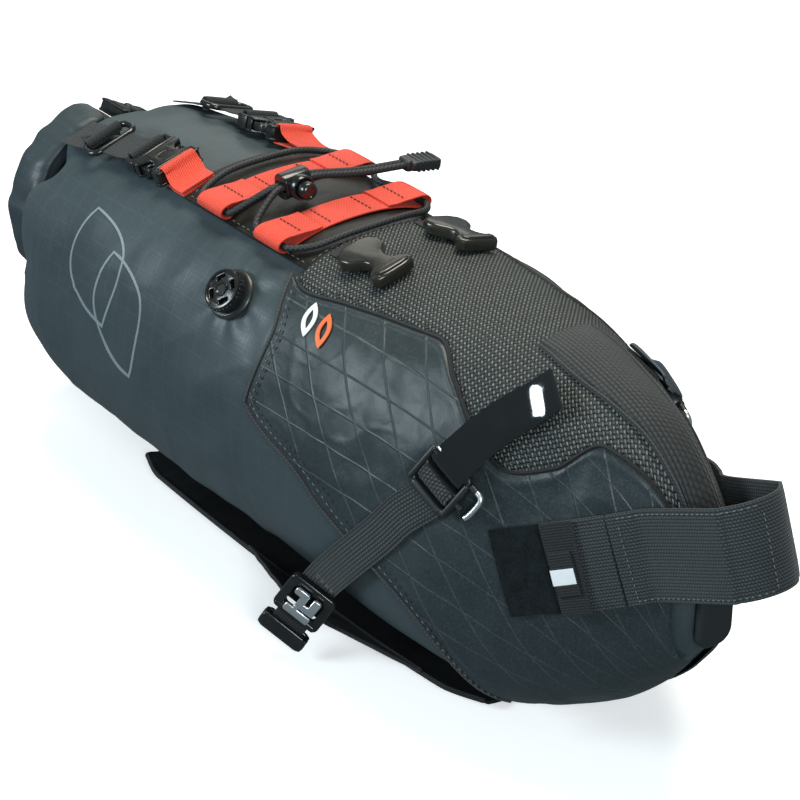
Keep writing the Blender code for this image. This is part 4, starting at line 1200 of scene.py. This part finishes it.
for side, sign in SIDES:
    s, t = np.meshgrid(np.linspace(0, 1, 150), np.linspace(0, 1, 96), indexing="ij")
    x = REAR_EDGE(t) * (1 - s) + PANEL_FRONT * s
    high = WEAVE_EDGE(x) + EDGE_GAP
    phi = sign * (high + (LOWER_EDGE(x) - high) * t)
    p = skin(x, phi)
    edge = np.minimum(np.minimum(t, 1 - t) * 9, np.minimum(s, 1 - s) * 14)
    inside = np.clip(edge, 0, 1)
    dents = 0.75 * ripple(p, 58, 5, 41) + 0.40 * ripple(p, 24, 6, 43)
    sharp = (crease(p, 46, 4, 47) * bell(x, 60, 60) * 0.30
             + crease(p, 38, 4, 52) * bell(x, 180, 42) * 0.30)
    relief = inside * (dents * 0.75 + sharp - 0.1)
    relief = relief - 0.8 * np.exp(-(t / 0.012) ** 2) - 0.5 * np.exp(-((1 - t) / 0.014) ** 2)
    relief = relief + 0.5 * np.exp(-((t - 0.035) / 0.014) ** 2)
    relief = np.clip(relief, -0.9, 2.2)
    sewn_sheet("side_panel_" + side, x, phi, relief, PANEL_LOW, PANEL_HIGH, LAMINATE,
               held="stretched", rests_on=[dry_bag], stands_for=["side_panel_" + side], angle=60)
    # rolled piping and stitching round the panel's rear and lower edges
    tt = np.linspace(0, 1, 90)
    rear_x = REAR_EDGE(tt)
    rear_phi = sign * ((WEAVE_EDGE(rear_x) + EDGE_GAP) * (1 - tt) + LOWER_EDGE(rear_x) * tt)
    low_x = np.linspace(-1, 152, 120)
    low_phi = sign * LOWER_EDGE(low_x)
    edge_x, edge_phi = np.concatenate([rear_x, low_x[2:]]), np.concatenate([rear_phi, low_phi[2:]])
    line = even(skin(edge_x - 0.8, edge_phi, 2.6 + belly_bulge(edge_x, edge_phi)), 1.2)
    rod("panel_piping_" + side, line, 1.45, PIPING, 10)
    for name, shift in (("panel_stitch_a_", 3.4), ("panel_stitch_b_", 5.6)):
        row_x = np.concatenate([rear_x + shift, low_x[4:]])
        row_phi = np.concatenate([rear_phi, low_phi[4:] - sign * shift * 0.72])
        row = skin(row_x, row_phi, 3.35 + belly_bulge(row_x, row_phi))
        stitches(name + side, row, outward(row_x, row_phi), DARK_THREAD if shift > 5 else THREAD,
                 2.2, 1.8, 0.26, 0.1)

s, t = np.meshgrid(np.linspace(0, 1, 150), np.linspace(-1, 1, 110), indexing="ij")
x = -6 + 234 * s
phi = (WEAVE_EDGE(x) + 0.4) * t
p = skin(x, phi)
inside = np.clip(np.minimum((1 - np.abs(t)) * 9, np.minimum(s, 1 - s) * 12), 0, 1)
relief = inside * (0.45 * ripple(p, 60, 5, 61) + 0.22 * ripple(p, 22, 5, 62))
relief = relief - 0.9 * np.exp(-((1 - np.abs(t)) / 0.02) ** 2)
sewn_sheet("top_panel", x, phi, relief, PANEL_LOW, 3.1, BASKET, held="stretched",
           rests_on=[dry_bag], stands_for=["top_panel"], angle=60)
for side, sign in SIDES:
    seam_x = np.linspace(-10, 226, 220)
    seam_phi = sign * (WEAVE_EDGE(seam_x) + 1.0)
    rod("weave_seam_" + side, even(skin(seam_x, seam_phi, 2.75), 1.4), 1.0, BINDING, 8)
    row_phi = sign * (WEAVE_EDGE(seam_x) - 1.8)
    stitches("weave_stitch_" + side, skin(seam_x, row_phi, 3.2), outward(seam_x, row_phi),
             DARK_THREAD, 2.2, 1.8, 0.26, 0.1)

# ribbed tape up the middle of the nose, and the pad that meets the seatpost
GUSSET_HALF = smooth_through([(132, 12.5), (165, 17), (194, 17), (228, 26)])
s, t = np.meshgrid(np.linspace(0, 1, 80), np.linspace(-1, 1, 22), indexing="ij")
x = 132 + 97 * s
phi = GUSSET_HALF(x) * t
relief = 0.12 * ripple(skin(x, phi), 20, 4, 71) - 0.7 * np.exp(-((1 - np.abs(t)) / 0.05) ** 2)
sewn_sheet("nose_gusset", x, phi, relief, 3.9, 5.3, GUSSET, stands_for=["nose_gusset"], angle=60)
for side, sign in SIDES:
    seam_x = np.linspace(132.5, 228, 90)
    rod("gusset_piping_" + side, even(skin(seam_x, sign * (GUSSET_HALF(seam_x) + 0.8), 4.3), 1.4),
        1.1, PIPING, 8)

nose_seat = (np.array([233.0, 0, 103.0]), np.array([0, 0, 1.0]), np.array([0, 1.0, 0]),
             np.array([1.0, 0, 0]))
cover = cut_plate("pad_cover", rounded(54, 20, 8, 8), 0.4, 5.0, nose_seat, PAD_COVER, (), 2.0)
crest = cut_plate("pad_crest", rounded(15, 16, 6.5, 8, du=18.2), 3.6, 6.0, nose_seat, PAD, (), 1.1)
pad = joined("nose_pad", [cover, crest], "bag", ["nose_pad"], "grey_pad")

# ---------------------------------------------------------------- flap
FLAP_REAR, FLAP_LENGTH, FLAP_PHI = -109, 104, 27.4
s, t = np.meshgrid(np.linspace(0, 1, 90), np.linspace(-1, 1, 60), indexing="ij")
x, phi = FLAP_REAR + FLAP_LENGTH * s, FLAP_PHI * t
p = skin(x, phi)
inside = np.clip(np.minimum((1 - np.abs(t)) * 8, np.minimum(s, 1 - s) * 10), 0, 1)
relief = inside * (0.28 * ripple(p, 42, 5, 81) + 0.18 * ripple(p, 16, 5, 82))
relief = relief - 0.22 * np.exp(-((np.abs(t) - 0.94) / 0.012) ** 2)
sewn_sheet("top_flap", x, phi, relief, 0.8, 2.2, FLAP, held="laid", rests_on=[dry_bag],
           stands_for=["top_flap"], angle=60)
turn = np.linspace(-26.5, 26.5, 50)
line = skin(-111.2, turn, 1.9)
band("flap_rear_binding", line, (1.0, 0, 0), 5.0, 2.0, BINDING, 0.3,
     stands_for=["flap_rear_binding"])
for name, rows in (("flap_stitch_rear", [(-106.5, -25.5), (-106.5, 25.5)]),
                   ("flap_stitch_right", [(-106.5, 25.6), (-8, 25.6)]),
                   ("flap_stitch_left", [(-106.5, -25.6), (-8, -25.6)]),
                   ("flap_stitch_front", [(-9, -25.5), (-9, 25.5)])):
    (x0, p0), (x1, p1) = rows
    k = np.linspace(0, 1, 60)
    row_x, row_phi = x0 + (x1 - x0) * k, p0 + (p1 - p0) * k
    stitches(name, skin(row_x, row_phi, 2.25), outward(row_x, row_phi), THREAD, 2.4, 1.6, 0.24,
             0.1)

# ---------------------------------------------------------------- red daisy strips
STRIP_PHI = 24.5
for label, x in (("rear", -82.0), ("front", -35.0)):
    turns = [(STRIP_PHI - 8, 6.0), (STRIP_PHI - 4.5, 7.6), (STRIP_PHI - 1, 9.4),
             (STRIP_PHI + 1.9, 9.3), (STRIP_PHI + 3.3, 6.8), (STRIP_PHI + 2.0, 3.7),
             (STRIP_PHI - 1.5, 3.2), (STRIP_PHI - 7, 3.1)]
    ends = [(STRIP_PHI - 14, 4.3), (STRIP_PHI - 11, 4.7)]
    flat = [(p, 3.1) for p in (12, 6, 0, -6, -12)]
    knots = ends + turns + flat + [(-p, h) for p, h in reversed(turns)] + \
        [(-p, h) for p, h in reversed(ends)]
    line = smooth_line([skin(x, p, h) for p, h in knots], 1.1)
    band("daisy_strip_" + label, line, (1.0, 0, 0), WEB + 1.0, 1.15, RED,
         stands_for=["daisy_strip_" + label], angle=70)
    rows = []
    for at_phi, lift in ((18.0, 7.5), (7.0, 3.8), (-5.0, 3.8), (-17.0, 7.1)):
        centre = seat(x, at_phi, lift)
        row = [centre[0] + np.array([k, 0, 0]) for k in np.linspace(-9.2, 9.2, 30)]
        rows.append(stitches("bartack_%s_%d" % (label, len(rows)), row, centre[3], RED_THREAD,
                             2.0, 1.0, 0.30, 0.1))
    joined("bartacks_" + label, rows, "bag", (), "red_webbing")

# ---------------------------------------------------------------- cord lock and pull tab
lock_at = (LOCK[0], LOCK[2], LOCK[3], LOCK[1])
block_at = (LOCK[0], LOCK[1], LOCK[3], -LOCK[2])
barrel = cut_plate("lock_barrel", rounded(10.8, 13, 4.4, 6, du=-0.2), -7.5, 7.5, block_at, PLASTIC,
                   [rounded(8.6, 4.7, 2.3, 6)], 0.5)
collar = turned("lock_collar", [(5.0, 4.6), (6.2, 4.6), (6.5, 5.4), (6.4, 8.2), (6.0, 9.0),
                                (5.2, 9.0), (4.95, 8.5), (5.0, 4.6)], lock_at, PLASTIC, 32)
joined("cord_lock_body", [barrel, collar], "bag", ["cord_lock_body"], "black_plastic")
button = turned("lock_cap", [(0, 8.6), (4.4, 8.6), (4.55, 10.6), (4.55, 13.0), (4.2, 13.9),
                             (3.4, 14.4), (2.8, 14.3), (2.4, 13.7), (0, 13.6)],
                lock_at, PLASTIC, 32)
joined("cord_lock_button", [button], "lock_button", ["cord_lock_button"], "black_plastic")

tab_at = (TAB_SPOT, tab_run, tab_side, np.cross(tab_run, tab_side))
parts = [cut_plate("tab_core", rounded(18.6, 12.6, 3, 5), -2.5, 2.5, tab_at, MATT, (), 1.0)]
for k in range(5):
    parts.append(cut_plate("tab_rib", rounded(1.5, 12.9, 0.7, 2, du=-4.4 + 2.8 * k), -3.0, 3.0,
                           tab_at, MATT, (), 0.5))
parts.append(cut_plate("tab_neck", rounded(4.0, 9.4, 1.6, 3, du=-9.2), -2.9, 2.9, tab_at, MATT,
                       (), 0.9))
pull_tab = joined("cord_pull_tab", parts, "bag", ["cord_pull_tab"], "black_plastic")

# ---------------------------------------------------------------- rail hooks
HOOK_X, HOOK_PHI, HOOK_LIFT = 22.0, 14.5, 2.4
ANVIL = [(-16, 5), (-13.4, 10.2), (-8, 12), (-3, 10.6), (0.6, 6.9), (2.6, 5.6), (5, 5.1),
         (7.4, 5.6), (9.4, 6.9), (12, 10.4), (16, 12), (19, 10), (20, 5)]
for side, sign in SIDES:
    at = seat(HOOK_X, sign * HOOK_PHI, HOOK_LIFT)
    crest = both_ways([(13.6, 8.6), (16.4, 9.4), (18.2, 8.0), (18.6, 4.0)])
    parts = [cut_plate("hook_body", both_ways(ANVIL), 1.6, 8.2, at, OLIVE, (), 1.9),
             cut_plate("hook_crest", crest, 7.0, 9.2, at, OLIVE, (), 1.0)]
    joined("rail_hook_" + side, parts, "rail_hook_" + side, ["rail_hook_" + side], "black_plastic")
    hold = smooth_line(local_line(at, [(-26, 0, 1.2), (-19, 0, 1.3), (-15.0, 0, 1.0), (-9, 0, 1.0),
                                       (-2, 0, 0.9)]), 1.2)
    band("hook_keeper_" + side, hold, at[2], 11.5, 1.0, BLACK)

# ---------------------------------------------------------------- side compression straps
SIDE_RUN = ((118, 80.0, 6.0), (109, 84.5, 4.8), (98, 91, 4.4), (80, 102, 4.4), (62, 114.5, 4.4),
            (52, 122, 5.2))
TAB_RUN = ((133.5, 58.8, 7.6), (137, 53.5, 5.9), (143, 45, 5.1), (150, 36, 5.6), (154, 30.5, 8.2),
           (156.4, 27.4, 10.4))


def resampled(rows, count):
    """The nearest of some rows for each of count even steps through them."""
    return rows[np.interp(np.arange(count), np.linspace(0, count - 1, len(rows)),
                          np.arange(len(rows))).round().astype(int)]


def route(knots, step=1.2):
    """A line over the bag through (x, phi, off) spots, with its across directions."""
    line = smooth_line([skin(x, p, 0) + seat(x, p)[3] * h for x, p, h in knots], step)
    outs = []
    spots = np.array([[k[0], k[1]] for k in knots])
    where = np.linspace(0, len(knots) - 1, len(line))
    for k in where:
        x = np.interp(k, range(len(knots)), spots[:, 0])
        p = np.interp(k, range(len(knots)), spots[:, 1])
        outs.append(outward(x, p))
    outs = np.array(outs)
    return line, np.cross(outs, runs_of(line)), outs


LADDER_X, LADDER_PHI, LADDER_LIFT = 126.0, 71, 8.0
FOOT_X, FOOT_PHI, FOOT_LIFT = 52, 122, 5.2
WING_TOPS = {}
for side, sign in SIDES:
    a, b = skin(118, sign * 80, 5), skin(134, sign * 57, 5)
    centre, _, _, out = seat(LADDER_X, sign * LADDER_PHI, LADDER_LIFT)
    run = b - a
    run = unit(run - out * np.dot(run, out))
    lock_frame = (centre, run, np.cross(out, run), out)
    # frame of the hook buckle, which hangs from the webbing's foot
    foot_end = seat(FOOT_X, sign * FOOT_PHI, FOOT_LIFT)[0]
    drop = unit(np.array([-0.45, -0.30 * sign, -0.84]))
    face = np.array([0.54, -0.84 * sign, 0.01])
    face = unit(face - drop * np.dot(face, drop))
    foot = (foot_end + drop * 13.6 + face * 1.6, drop, np.cross(face, drop), face)
    # webbing up from the hook, folded through the lock's lower slot
    knots = [(x, sign * p, h) for x, p, h in SIDE_RUN]
    line, sides, outs = route(knots[::-1])
    up = local_line(lock_frame, [(-11.0, 0, -3.1), (-8.0, 0, -3.2), (-6.4, 0, -1.6), (-6.2, 0, 1.5),
                                 (-4.0, 0, 3.2), (-1.4, 0, 3.2), (0.6, 0, 3.0)])
    loop = local_line(foot, [(-5.6, 0, -1.0), (-6.6, 0, -3.4), (-10.5, 0, -3.3), (-14.0, 0, -1.6)])
    whole = smooth_line([*loop, *line[4:-6:6], *up], 1.1)
    facing = np.tile(lock_frame[2], (len(whole), 1))
    near = np.clip((np.arange(len(whole)) - (len(whole) - 26)) / 14, 0, 1)[:, None]
    sign_of = 1 if np.dot(sides[0], lock_frame[2]) > 0 else -1
    facing = facing * near + resampled(sides, len(whole)) * (1 - near) * sign_of
    turn_sign = 1 if np.dot(foot[2], facing[20]) > 0 else -1
    near = np.clip((20 - np.arange(len(whole))) / 12, 0, 1)[:, None]
    facing = foot[2] * near * turn_sign + facing * (1 - near)
    band("side_webbing_" + side, whole, facing, 19.0, 1.5, COARSE,
         stands_for=["side_webbing_" + side], angle=60)
    # folded, stitched end of that webbing near its foot
    for k in (17.5, 20.0):
        spot = int(k / 1.1)
        c, sd = whole[spot], unit(facing[spot])
        o = unit(np.cross(sd, whole[spot + 1] - whole[spot - 1]))
        o = o * (1 if np.dot(o, out) > 0 else -1)
        stitches("webbing_stitch_%s_%d" % (side, spot),
                 [c + sd * v + o * 0.8 for v in np.linspace(-7.8, 7.8, 26)], o, THREAD, 2.0, 1.1,
                 0.3, 0.1)
    # glossy coated tab from the lock's upper slot
    knots = [(x, sign * p, h if sign > 0 else min(h, 5.4)) for x, p, h in TAB_RUN]
    line, sides, outs = route(knots)
    into = local_line(lock_frame, [(6.8, 0, -3.0), (4.6, 0, -2.2), (4.4, 0, 1.6), (6.4, 0, 3.2),
                                   (9.4, 0, 3.2), (12.6, 0, 2.8)])
    tab = smooth_line([*into, *line[3::5], line[-1]], 1.1)
    facing = np.tile(lock_frame[2], (len(tab), 1))
    sign_of = 1 if np.dot(sides[0], lock_frame[2]) > 0 else -1
    near = np.clip((np.arange(len(tab)) - 14) / 14, 0, 1)[:, None]
    facing = facing * (1 - near) + resampled(sides, len(tab)) * near * sign_of
    strip = band("side_tab_" + side, tab, facing, WEB, 1.7, FILM, 0.25, body=None,
                 stands_for=["side_tab_" + side], angle=60)
    "ladder_" + side
    tuple((centre + run * 27.0) * MM)
    tuple((centre + run * 13.0) * MM)
    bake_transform(strip)
    under = [tab[-17] - outs[-1] * 4.2, tab[-11] - outs[-1] * 3.4, tab[-4] - outs[-1] * 2.9,
             tab[-1] - outs[-1] * 2.0]
    under = smooth_line(under, 1.2)
    band("tab_fold_" + side, under, unit(facing[-1]), 18.0, 1.3, BLACK)
    # ladder lock
    outline = both_ways([(-12.0, 10.6), (-10.6, 12.4), (-7.6, 13.4), (4.6, 13.4), (8.6, 12.8),
                         (11.2, 11.5), (12.0, 9.9)])
    windows = [rounded(4.8, 20.6, 1.6, du=-6.4), rounded(4.6, 20.6, 1.6, du=3.6)]
    parts = [cut_plate("ladder_plate", outline, -2.2, 2.2, lock_frame, MATT, windows, 1.1)]
    for du, w, lift, deep in ((-1.5, 20.6, 0.6, 2.9), (-10.4, 19.8, 0.4, 2.7),
                              (9.4, 21.4, 0.2, 3.3)):
        parts.append(cut_plate("ladder_bar", rounded(3.4, w, 1.6, 4, du=du), lift, deep, lock_frame,
                               MATT, (), 1.0))
    for dv in (11.8, -11.8):
        parts.append(cut_plate("ladder_rail", rounded(20.0, 2.8, 1.3, 4, du=-0.6, dv=dv), 0.0, 3.5,
                               lock_frame, MATT, (), 1.2))
    joined("ladder_lock_" + side, parts, "ladder_" + side, ["ladder_lock_" + side],
           "black_plastic")
    away = -lock_frame[2] * sign
    pin_at = (centre, run, away, out)
    pin = local_line(pin_at, [(9.6, 15.6, 1.0), (9.6, 19.0, 1.0), (8.0, 20.6, 1.0),
                              (4.0, 21.0, 1.0), (-1.0, 20.7, 1.0), (-3.0, 20.1, 1.0)])
    hook = rod("ladder_pin_" + side, smooth_line(pin, 0.7), 1.3, STEEL, 14)
    stubs = [rod("pin_stub", even(np.array(local_line(pin_at, [(du, 13.0, 1.0), (du, 16.6, 1.0)])),
                                  0.8), 1.5, MATT, 12) for du in (9.6, -1.5)]
    joined("ladder_pin_" + side, [hook, *stubs], "ladder_" + side, ["ladder_pin_" + side],
           "polished_steel")

    # hook buckle at the foot
    centre, run, _, out = foot
    window = rounded(13.5, 17, 2.2, 4)
    parts = [cut_plate("frame_plate", rounded(23, 26, 3.4, 5), -2.0, 2.0, foot, PLASTIC, [window],
                       0.9),
             cut_plate("frame_lip", rounded(3.2, 24, 1.4, 4, du=9.3), 0.2, 2.6, foot, PLASTIC, (),
                       0.9)]
    joined("hook_frame_" + side, parts, "bag", ["hook_frame_" + side], "black_plastic")
    parts = [cut_plate("hook_%s" % part, outline, 2.6, 4.6, foot, STEEL, (), 0.7)
             for part, outline in (
                 ("upper", [(-7.8, -6.6), (-7.0, -7.4), (-4.6, -7.4), (-3.8, -6.6), (-3.8, -3.4),
                            (1.4, -3.4), (2.4, -2.4), (2.4, 6.4), (1.6, 7.2), (-7.0, 7.2),
                            (-7.8, 6.4), (-7.8, 3.6), (-7.0, 2.8), (-1.4, 2.8), (-1.4, 0.6),
                            (-7.0, 0.6), (-7.8, -0.2)]),
                 ("lower", [(3.4, -6.6), (4.2, -7.4), (7.2, -7.4), (8.0, -6.6), (8.0, 6.4),
                            (7.2, 7.2), (4.2, 7.2), (3.4, 6.4)]),
                 ("link", [(1.6, -3.4), (4.2, -3.4), (4.2, -0.6), (1.6, -0.6)]))]
    joined("side_hook_" + side, parts, "side_hook_" + side, ["side_hook_" + side],
           "polished_steel")
    # webbing tail hanging from the frame, ended by a slide
    flat_side, start = foot[2], centre + run * 12.0
    hang = smooth_line([start + drop * 0.2 + out * 0.2, start + drop * 4, start + drop * 9,
                        start + drop * 13.8], 0.9)
    band("hook_tail_" + side, hang, flat_side, 17.6, 1.4, BLACK,
         stands_for=["hook_tail_" + side], angle=60)
    slide_at = (start + drop * 9.2, drop, flat_side, out)
    face_ring, end_rings = rounded(9, 26, 3.4, 5), [rounded(8, 2.4, 1.1, 4, dv=dv)
                                                    for dv in (11.6, -11.6)]
    parts = [cut_plate("slide_" + part, ring, low, high, slide_at, PLASTIC, (), 1.0)
             for part, ring, low, high in (("front", face_ring, 1.0, 3.2),
                                           ("rear", face_ring, -3.2, -1.0),
                                           ("end", end_rings[0], -2.9, 2.9),
                                           ("end", end_rings[1], -2.9, 2.9))]
    joined("tail_slide_" + side, parts, "bag", ["tail_slide_" + side], "black_plastic")
    WING_TOPS[side] = (centre + run * 7.0 - out * 4.4, foot[2], out)

# ---------------------------------------------------------------- belly sling and its wings
SLING_HALF = smooth_through([(-160, 44), (-130, 54), (20, 58), (110, 52), (132, 40)])


def sling_z(y):
    """Flat along the middle, turning up towards both edges."""
    return 7.5 * (np.maximum(np.abs(y) - 15.0, 0.0) / 43.0) ** 2.0


x, t = np.meshgrid(np.linspace(-160, 132, 140), np.linspace(-1, 1, 60), indexing="ij")
y = SLING_HALF(x) * t
base = np.stack([x, y, sling_z(y)], -1)
soft = rise(np.abs(t), 0.35, 0.9)
wave = soft * (0.35 * ripple(base, 48, 5, 91) + 0.2 * ripple(base, 18, 5, 92))
hem = 0.5 * np.exp(-((np.abs(t) - 0.93) / 0.05) ** 2)
outer, inner = base.copy(), base.copy()
outer[..., 2] += 1.6 + wave + hem
inner[..., 2] += np.maximum(wave, 0) * soft
cloth_shell("belly_sling", outer, inner, SLING, held="stretched", rests_on=[dry_bag],
            stands_for=["belly_sling"], angle=60)
for side, sign in SIDES:
    edge_x = np.linspace(-158, 130, 200)
    edge_y = -sign * (SLING_HALF(edge_x) - 0.2)
    rod("sling_hem_" + side, even(np.stack([edge_x, edge_y, sling_z(edge_y) + 1.3], -1), 1.6), 1.15,
        BINDING, 8)
for side, sign in SIDES:
    apex, across, out = WING_TOPS[side]
    across = -across if across[0] < 0 else across
    u, w = np.meshgrid(np.linspace(0, 1, 90), np.linspace(0, 1, 40), indexing="ij")
    low_x = -40 + 138 * u
    low = np.stack([low_x, -sign * (SLING_HALF(low_x) + 0.6), sling_z(SLING_HALF(low_x)) + 2.8], -1)
    top = apex + across * (18 * u - 9)[..., None]
    p = low * (1 - w)[..., None] + top * w[..., None]
    fan = np.sin((u - 0.5) * 26) * (0.25 + 0.75 * w) * (1 - w) * 2.0
    relief = fan + 0.4 * ripple(p, 26, 5, 95)
    relief = relief * np.minimum(1, 6 * w) * np.minimum(1, 8 * (1 - w))
    p = p + out * relief[..., None]
    cloth_shell("sling_wing_" + side, p, p - out * 1.0, WING, held="stretched",
                rests_on=["hook_frame_%s_look" % side], stands_for=["sling_wing_" + side],
                angle=60)
    for k, edge in (("rear", 0), ("front", -1)):
        rod("wing_hem_%s_%s" % (k, side), even(p[edge] - out * 0.4, 1.4), 1.0, BINDING, 8)
    rod("wing_foot_" + side, even(p[:, 0] - out * 0.4, 1.4), 1.1, BINDING, 8)

# ---------------------------------------------------------------- seatpost strap
STRAP_UP = np.array([-math.sin(math.radians(20)), 0, math.cos(math.radians(20))])
STRAP_Z0, STRAP_SLOPE, POST_X, POST_R, STRAP_W = 97.0, 0.44, 248.0, 20.0, 42.0
STRAP_THICK, STRAP_LIFT = 2.3, 7.3


def strap_z(x):
    """Height of the strap's centre line, which climbs towards the post."""
    return STRAP_Z0 + STRAP_SLOPE * (x - 162)


def flank(x, off):
    """Point on the -Y flank under the strap's centre line, pushed out by off."""
    tries = skin(np.full(541, float(x)), np.linspace(40, 130, 541), off)
    return tries[np.argmin(np.abs(tries[:, 2] - strap_z(x)))]


def strap_piece(name, points, width, thick, finish, step=1.2, bow=0.0, **rest):
    """Webbing that stands up along the leaning strap."""
    line = smooth_line(points, step)
    band(name, line, STRAP_UP, width, thick, finish, bow, count=13, **rest)


mirror = np.array([1, -1, 1])
arc = [np.array([POST_X + POST_R * math.cos(a), POST_R * math.sin(a), 0])
       for a in np.radians(np.linspace(-68, 68, 13))]
arc = [p + np.array([0, 0, strap_z(p[0])]) for p in arc]
main = [flank(x, STRAP_LIFT) for x in (207.5, 214, 222)] + arc + \
    [flank(x, STRAP_LIFT) * mirror for x in (222, 210, 196, 180, 166)]
strap_piece("seatpost_strap", main, STRAP_W, STRAP_THICK, STRAPPING,
            stands_for=["seatpost_strap"], angle=60)
strap_piece("strap_end", [flank(x, STRAP_LIFT) for x in (183, 190, 198, 206.6)], STRAP_W,
            STRAP_THICK, STRAPPING, stands_for=["strap_end"], body="strap_end", angle=60)
strap_piece("loop_patch", [flank(x, 4.5) for x in (160, 168, 176, 184, 192, 199)],
            STRAP_W - 1, 1.9, PILE, 1.2, 0.3, stands_for=["loop_patch"], angle=80)


def across_rows(name, points, outs_of, rows, finish, body):
    """Stitch rows on the strap: each row is a share of its half width, or a bar across it."""
    line = smooth_line(points, 0.8)
    runs = runs_of(line)
    ups = unit(STRAP_UP - runs * np.sum(runs * STRAP_UP, -1, keepdims=True))
    outs = np.cross(runs, ups)
    outs = outs * np.where(np.sum(outs * outs_of, -1, keepdims=True) < 0, -1.0, 1.0)
    made = []
    for kind, where, span in rows:
        if kind == "along":
            first, last = int(span[0] * (len(line) - 1)), int(span[1] * (len(line) - 1))
            row = (line + ups * where * STRAP_W / 2 + outs * 1.2)[first:last]
            made.append(stitches("%s_%d" % (name, len(made)), row, outs[first:last], finish, 1.9,
                                 1.0, 0.24, 0.1))
        else:
            k = int(where * (len(line) - 1))
            v = np.linspace(span[0], span[1], 40)[:, None] * STRAP_W / 2
            row = line[k] + ups[k] * v + outs[k] * 1.2
            made.append(stitches("%s_%d" % (name, len(made)), row, outs[k], finish, 1.9, 1.0, 0.24,
                                 0.1))
    return joined(name, made, body, (), "black_webbing")


away = np.array([0.25, -1.0, 0.1])
front = [*(flank(x, STRAP_LIFT) for x in (207.9, 214, 222)), *arc[:7]]
across_rows("strap_stitching", front, away,
            (("along", 0.90, (0.05, 0.97)), ("along", -0.90, (0.05, 0.97)),
             ("across", 0.06, (-0.88, 0.88)), ("across", 0.97, (-0.88, 0.88))), THREAD, "bag")
across_rows("end_stitching", [flank(x, STRAP_LIFT) for x in (184, 190, 198, 206)], away,
            (("along", 0.90, (0.04, 0.98)), ("along", -0.90, (0.04, 0.98))), DARK_THREAD,
            "strap_end")

# the cross strip, and the folded tag with its reflective band
tag_line = smooth_line([flank(x, 10.1) for x in (184.6, 190, 196.4)], 0.8)
strip = band("cross_strip", tag_line, STRAP_UP, STRAP_W + 1.0, 1.5, BLACK, body=None, angle=60)
fold_line = smooth_line([flank(x, 11.6) for x in (186.2, 190, 194.8)], 0.8)
tag = band("folded_tag", fold_line + STRAP_UP * -2.0, STRAP_UP, 20.0, 1.2, BLACK, body=None,
           angle=60)
glow_line = smooth_line([flank(x, 12.3) for x in (186.0, 190, 195.0)], 0.8)
glow = band("reflective_band", glow_line + STRAP_UP * -3.0, STRAP_UP, 7.2, 0.5, TAPE, body=None,
            angle=60)
joined("strap_tag", [strip, tag, glow], "strap_end", ["strap_tag"], "black_webbing")

# ---------------------------------------------------------------- plain printed marks
def printed(name, x0, phi0, shapes, finish, lift, relief=None):
    """Thin printed outlines on the cloth; shapes are closed bands of (u, v) in millimetres."""
    girth = np.linalg.norm(skin(x0, phi0 + 1) - skin(x0, phi0 - 1)) / 2
    made = []
    for outer_ring, inner_ring in shapes:
        o, i = np.array(outer_ring), np.array(inner_ring)
        rows = np.stack([o + (i - o) * k for k in (0, 0.5, 1.0)])
        rows = np.concatenate([rows, rows[:, :1]], 1)
        x, phi = x0 + rows[..., 0], phi0 + rows[..., 1] / girth
        out = outward(x, phi)
        dent = relief(x, phi)[..., None] if relief else 0.0
        p = skin(x, phi, 0.0) + out * (dent + lift)
        made.append(cloth_shell(name, p, p - out * 0.5, finish, angle=70))
    return joined(name, made, "bag", (), finish.slot)


def outline_band(ring, width):
    """A ring and the same ring drawn in by a width."""
    p = np.array(ring, float)
    ahead = unit(np.roll(p, -1, 0) - np.roll(p, 1, 0))
    inward = np.stack([-ahead[:, 1], ahead[:, 0]], 1)
    if area_of(ring) < 0:
        inward = -inward
    return p, p + inward * width


def leaf(length, width, du, dv, turn, count=40):
    """A pointed leaf outline."""
    pts = []
    for k in range(count):
        t = 2 * k / count
        a = t if t <= 1 else 2 - t
        v = width / 2 * math.sin(math.pi * a) ** 0.9 * (1 if t <= 1 else -1)
        pts.append((length * (a - 0.5), v))
    c, s = math.cos(math.radians(turn)), math.sin(math.radians(turn))
    return [(u * c - v * s + du, u * s + v * c + dv) for u, v in pts]


printed("side_print", -134, 72, [outline_band(leaf(66, 50, -12, -9, 62), 1.5),
                                 outline_band(leaf(60, 44, 15, 6, 62), 1.5)], SILVER, 0.30,
        bag_relief)
printed("small_print_white", 22, 43, [outline_band(leaf(17, 8.0, -3.4, 0, 70), 2.2)], WHITE_MARK,
        4.3)
printed("small_print_orange", 29, 43, [outline_band(leaf(17, 8.0, 1.4, 1.5, 70), 2.2)],
        ORANGE_MARK, 4.3)

# ---------------------------------------------------------------- floor
bpy.ops.object.select_all(action="DESELECT")
bpy.ops.mesh.primitive_plane_add(size=14)
floor = bpy.context.object
floor.name = "studio_floor"
floor.location.z = -0.0006
floor.visible_diffuse = floor.visible_glossy = False
floor.data.materials.append(FLOOR.mat)
